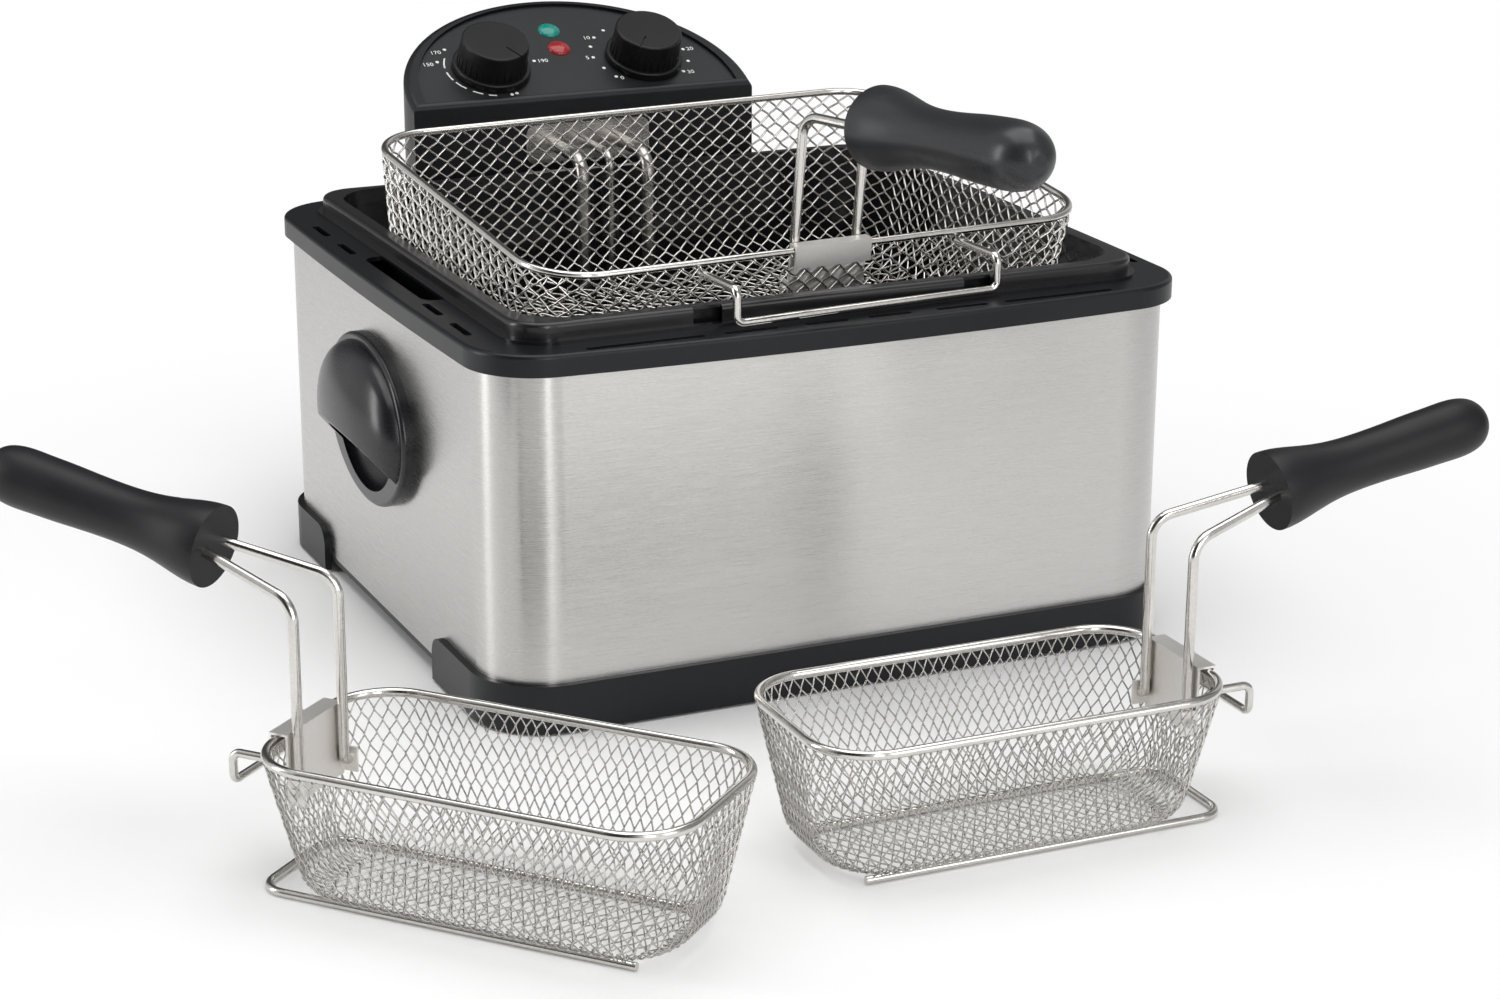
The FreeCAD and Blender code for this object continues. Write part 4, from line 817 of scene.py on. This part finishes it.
@dataclass(frozen=True)
class SoftBox:
    """One soft light.

    Attributes:
        name: name of the light.
        place: where it hangs, in metres.
        size: width and height in metres.
        power: power in watts.
    """

    name: str
    place: tuple[float, float, float]
    size: tuple[float, float]
    power: float

    def hang(self, aim: Vector) -> None:
        """Hang the light.

        Args:
            aim: point that it faces.
        """
        data = bpy.data.lights.new(self.name, "AREA")
        data.shape = "RECTANGLE"
        data.size, data.size_y = self.size
        data.energy = self.power
        light = bpy.data.objects.new(self.name, data)
        light.location = self.place
        light.rotation_euler = (aim - Vector(self.place)).to_track_quat("-Z", "Y").to_euler()
        bpy.context.scene.collection.objects.link(light)


@dataclass
class Studio:
    """White floor, soft lights and the camera of the photograph.

    Attributes:
        eye: camera place in metres.
        target: point at the middle of the picture.
        roll: turn of the camera about its view line, in degrees.
        lens: focal length in millimetres on a 36 mm wide sensor.
        surround: strength of the soft light from all round.
        fade_from: distance from the middle at which the floor begins to fade to white, in metres.
        fade_to: distance at which it is white.
        screens: direction of each dark screen, from the front towards the right in degrees, and its light.
        screen_edge: cosine of the angle at which a screen begins.
        floor_size: side of the floor in metres.
        floor_grey: brightness of the floor.
        aim: point that the lights face.
        boxes: the soft lights.
    """

    eye: Vector = Vector((-0.6012, -1.4931, 0.6121))
    target: Vector = Vector((0.12375, 0.0968, 0.0457))
    roll: float = 0.22
    lens: float = 76.28
    surround: float = 0.66
    fade_from: float = 0.25
    fade_to: float = 0.75
    screens: tuple[tuple[float, float], ...] = ((-55.0, 0.04), (85.0, 0.45), (170.0, 0.12))
    screen_edge: float = 0.70
    floor_size: float = 14.0
    floor_grey: float = 0.96
    aim: Vector = FRYER_CENTRE + Vector((0.0, -0.1, 0.1))
    boxes: tuple[SoftBox, ...] = (
        SoftBox("top_box", (0.1, 0.0, 2.2), (2.2, 2.2), 34.0),
        SoftBox("left_box", (-2.1, 0.75, 0.7), (0.5, 1.6), 15.0),
        SoftBox("front_strip", (-0.25, -2.6, 0.9), (0.4, 1.8), 13.0),
        SoftBox("right_box", (0.95, -2.4, 0.9), (0.8, 1.6), 8.0),
    )

    def camera(self) -> None:
        """Set the camera where the photograph was taken from."""
        data = bpy.data.cameras.new("photo_camera")
        data.sensor_fit = "HORIZONTAL"
        data.sensor_width = 36.0
        data.lens = self.lens
        data.clip_end = 20.0
        forward = (self.target - self.eye).normalized()
        right = forward.cross(Vector((0.0, 0.0, 1.0))).normalized()
        up = right.cross(forward)
        angle = math.radians(self.roll)
        rolled = right * math.cos(angle) + up * math.sin(angle)
        raised = up * math.cos(angle) - right * math.sin(angle)
        view = Matrix((rolled, raised, -forward)).transposed().to_4x4()
        view.translation = self.eye
        camera = bpy.data.objects.new("photo_camera", data)
        camera.matrix_world = view
        bpy.context.scene.collection.objects.link(camera)
        bpy.context.scene.camera = camera

    def floor(self) -> None:
        """Lay a wide pale floor that keeps the soft shadow."""
        bpy.ops.object.select_all(action="DESELECT")
        bpy.ops.mesh.primitive_plane_add(size=self.floor_size, location=(0.0, 0.0, 0.0))
        floor = bpy.context.active_object
        floor.name = "studio_floor"
        paint = bpy.data.materials.new("studio_floor")
        paint.use_nodes = True
        shader = paint.node_tree.nodes["Principled BSDF"]
        shader.inputs["Base Color"].default_value = (self.floor_grey, self.floor_grey, self.floor_grey, 1.0)
        shader.inputs["Roughness"].default_value = 0.9
        shader.inputs["Specular IOR Level"].default_value = 0.1
        self.fade(paint.node_tree, shader)
        floor.data.materials.append(paint)

    def fade(self, tree: bpy.types.NodeTree, shader: bpy.types.Node) -> None:
        """Let the floor fade to plain white away from the object, for the camera only.

        Args:
            tree: node tree of the floor.
            shader: its surface shader.
        """
        place = tree.nodes.new("ShaderNodeTexCoord").outputs["Object"]
        shift = tree.nodes.new("ShaderNodeMapping")
        shift.inputs["Scale"].default_value = (1.0, 1.0, 0.0)
        tree.links.new(place, shift.inputs["Vector"])
        length = tree.nodes.new("ShaderNodeVectorMath")
        length.operation = "LENGTH"
        tree.links.new(shift.outputs["Vector"], length.inputs[0])
        ramp = tree.nodes.new("ShaderNodeMapRange")
        ramp.interpolation_type = "SMOOTHSTEP"
        ramp.inputs["From Min"].default_value = self.fade_from
        ramp.inputs["From Max"].default_value = self.fade_to
        tree.links.new(length.outputs["Value"], ramp.inputs["Value"])
        seen = tree.nodes.new("ShaderNodeMath")
        seen.operation = "MULTIPLY"
        path = tree.nodes.new("ShaderNodeLightPath")
        tree.links.new(path.outputs["Is Camera Ray"], seen.inputs[0])
        tree.links.new(ramp.outputs["Result"], seen.inputs[1])
        white = tree.nodes.new("ShaderNodeEmission")
        mix = tree.nodes.new("ShaderNodeMixShader")
        tree.links.new(seen.outputs["Value"], mix.inputs["Fac"])
        tree.links.new(shader.outputs["BSDF"], mix.inputs[1])
        tree.links.new(white.outputs["Emission"], mix.inputs[2])
        tree.links.new(mix.outputs["Shader"], tree.nodes["Material Output"].inputs["Surface"])

    def world(self) -> None:
        """Light the studio softly from all round, white where the camera sees it."""
        world = bpy.data.worlds.new("studio")
        bpy.context.scene.world = world
        world.use_nodes = True
        tree = world.node_tree
        sky = tree.nodes["Background"]
        sky.inputs["Color"].default_value = (1.0, 1.0, 1.0, 1.0)
        path = tree.nodes.new("ShaderNodeLightPath")
        mix = tree.nodes.new("ShaderNodeMix")
        mix.inputs[3].default_value = 1.0
        tree.links.new(self.dimmed(tree), mix.inputs[2])
        tree.links.new(path.outputs["Is Camera Ray"], mix.inputs["Factor"])
        tree.links.new(mix.outputs[0], sky.inputs["Strength"])

    def dimmed(self, tree: bpy.types.NodeTree) -> bpy.types.NodeSocket:
        """Dim the surround where dark screens stand, so that the steel shows soft stripes.

        Args:
            tree: node tree of the world.

        Returns:
            The socket of the surround's strength.
        """
        level = tree.nodes.new("ShaderNodeVectorMath")
        level.operation = "MULTIPLY"
        level.inputs[1].default_value = (1.0, 1.0, 0.0)
        tree.links.new(tree.nodes.new("ShaderNodeTexCoord").outputs["Generated"], level.inputs[0])
        unit = tree.nodes.new("ShaderNodeVectorMath")
        unit.operation = "NORMALIZE"
        tree.links.new(level.outputs["Vector"], unit.inputs[0])
        direction = unit.outputs["Vector"]
        left = None
        for azimuth, share in self.screens:
            angle = math.radians(azimuth)
            dot = tree.nodes.new("ShaderNodeVectorMath")
            dot.operation = "DOT_PRODUCT"
            dot.inputs[1].default_value = (math.sin(angle), -math.cos(angle), 0.0)
            tree.links.new(direction, dot.inputs[0])
            spot = tree.nodes.new("ShaderNodeMapRange")
            spot.interpolation_type = "SMOOTHSTEP"
            spot.inputs["From Min"].default_value = self.screen_edge
            spot.inputs["From Max"].default_value = 1.0
            spot.inputs["To Min"].default_value = 1.0
            spot.inputs["To Max"].default_value = share
            tree.links.new(dot.outputs["Value"], spot.inputs["Value"])
            times = tree.nodes.new("ShaderNodeMath")
            times.operation = "MULTIPLY"
            times.inputs[0].default_value = self.surround
            if left is not None:
                tree.links.new(left, times.inputs[0])
            tree.links.new(spot.outputs["Result"], times.inputs[1])
            left = times.outputs["Value"]
        return left

    def build(self) -> None:
        """Set up the whole studio."""
        self.camera()
        self.floor()
        self.world()
        for box in self.boxes:
            box.hang(self.aim)
        bpy.context.scene.view_settings.view_transform = "Standard"


SMALL_LEVEL = 72.05
SMALL_STANDS = (("left", -260.6, -369.5, 131.2), ("right", -25.6, -379.7, -0.5))
LARGE_PLACE = (-1.0, -21.7, 242.8)
LARGE_YAW = 4.0
LARGE_TILT = 7.5


def small_place(x: float, y: float, turn: float) -> Matrix:
    """Place a small basket.

    Args:
        x: place of its middle from the fryer's middle, in millimetres.
        y: place of its middle from the fryer's middle, in millimetres.
        turn: turn about the upright in degrees.

    Returns:
        The matrix from the basket's frame to the row frame.
    """
    shift = Matrix.Translation(FRYER_CENTRE + Vector((x, y, SMALL_LEVEL)) * MM)
    return shift @ Matrix.Rotation(math.radians(turn + 90.0), 4, "Z")


def large_place() -> Matrix:
    """Place the large basket, hung with a slight tilt and turn.

    Returns:
        The matrix from the basket's frame to the row frame.
    """
    shift = Matrix.Translation(FRYER_CENTRE + Vector(LARGE_PLACE) * MM)
    yaw = Matrix.Rotation(math.radians(LARGE_YAW), 4, "Z")
    return shift @ yaw @ Matrix.Rotation(math.radians(LARGE_TILT), 4, "X")


def large_tub() -> WireTub:
    """Size the woven tub of the large basket.

    Returns:
        The tub, not yet built.
    """
    # Its wires get the lighter copy of the mesh steel, a painted highlight.
    return WireTub("large_basket", width=332.0, depth=240.0, corner=36.0, top=-2.05, height=100.0, taper=8.0,
                   bend=24.0, cell=(10.4, 8.8), place=large_place(), wire=1.25, finish="large_mesh_painted_highlight")


def small_tub(side: str, place: Matrix) -> WireTub:
    """Size the woven tub of a small basket.

    Args:
        side: which of the two it is.
        place: the matrix from the basket's frame to the row frame.

    Returns:
        The tub, not yet built.
    """
    return WireTub(side + "_basket", width=110.0, depth=214.0, corner=32.0, top=-2.3, height=68.0, taper=12.0,
                   bend=15.0, cell=(6.0, 10.6), place=place, wire=0.8, knot=1.8)


def clear_start_scene() -> None:
    """Remove what a new file brings along, so that only the frame is left."""
    kept = set(frame["nodes"].values()) | set(frame["bodies"].values())
    for thing in list(bpy.data.objects):
        if thing not in kept:
            bpy.data.objects.remove(thing, do_unlink=True)


def main() -> None:
    """Dress the frame and set the studio."""
    logging.basicConfig(level=logging.INFO, format="%(name)s %(message)s")
    clear_start_scene()
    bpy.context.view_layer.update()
    palette = Palette()
    palette.dress(frame["nodes"])
    large_tub().build(palette, "large_basket")
    for side, x, y, turn in SMALL_STANDS:
        small_tub(side, small_place(x, y, turn)).build(palette, side + "_basket")
    PanelPrint().build(palette)
    Studio().build()


if __name__ == "__main__":
    main()
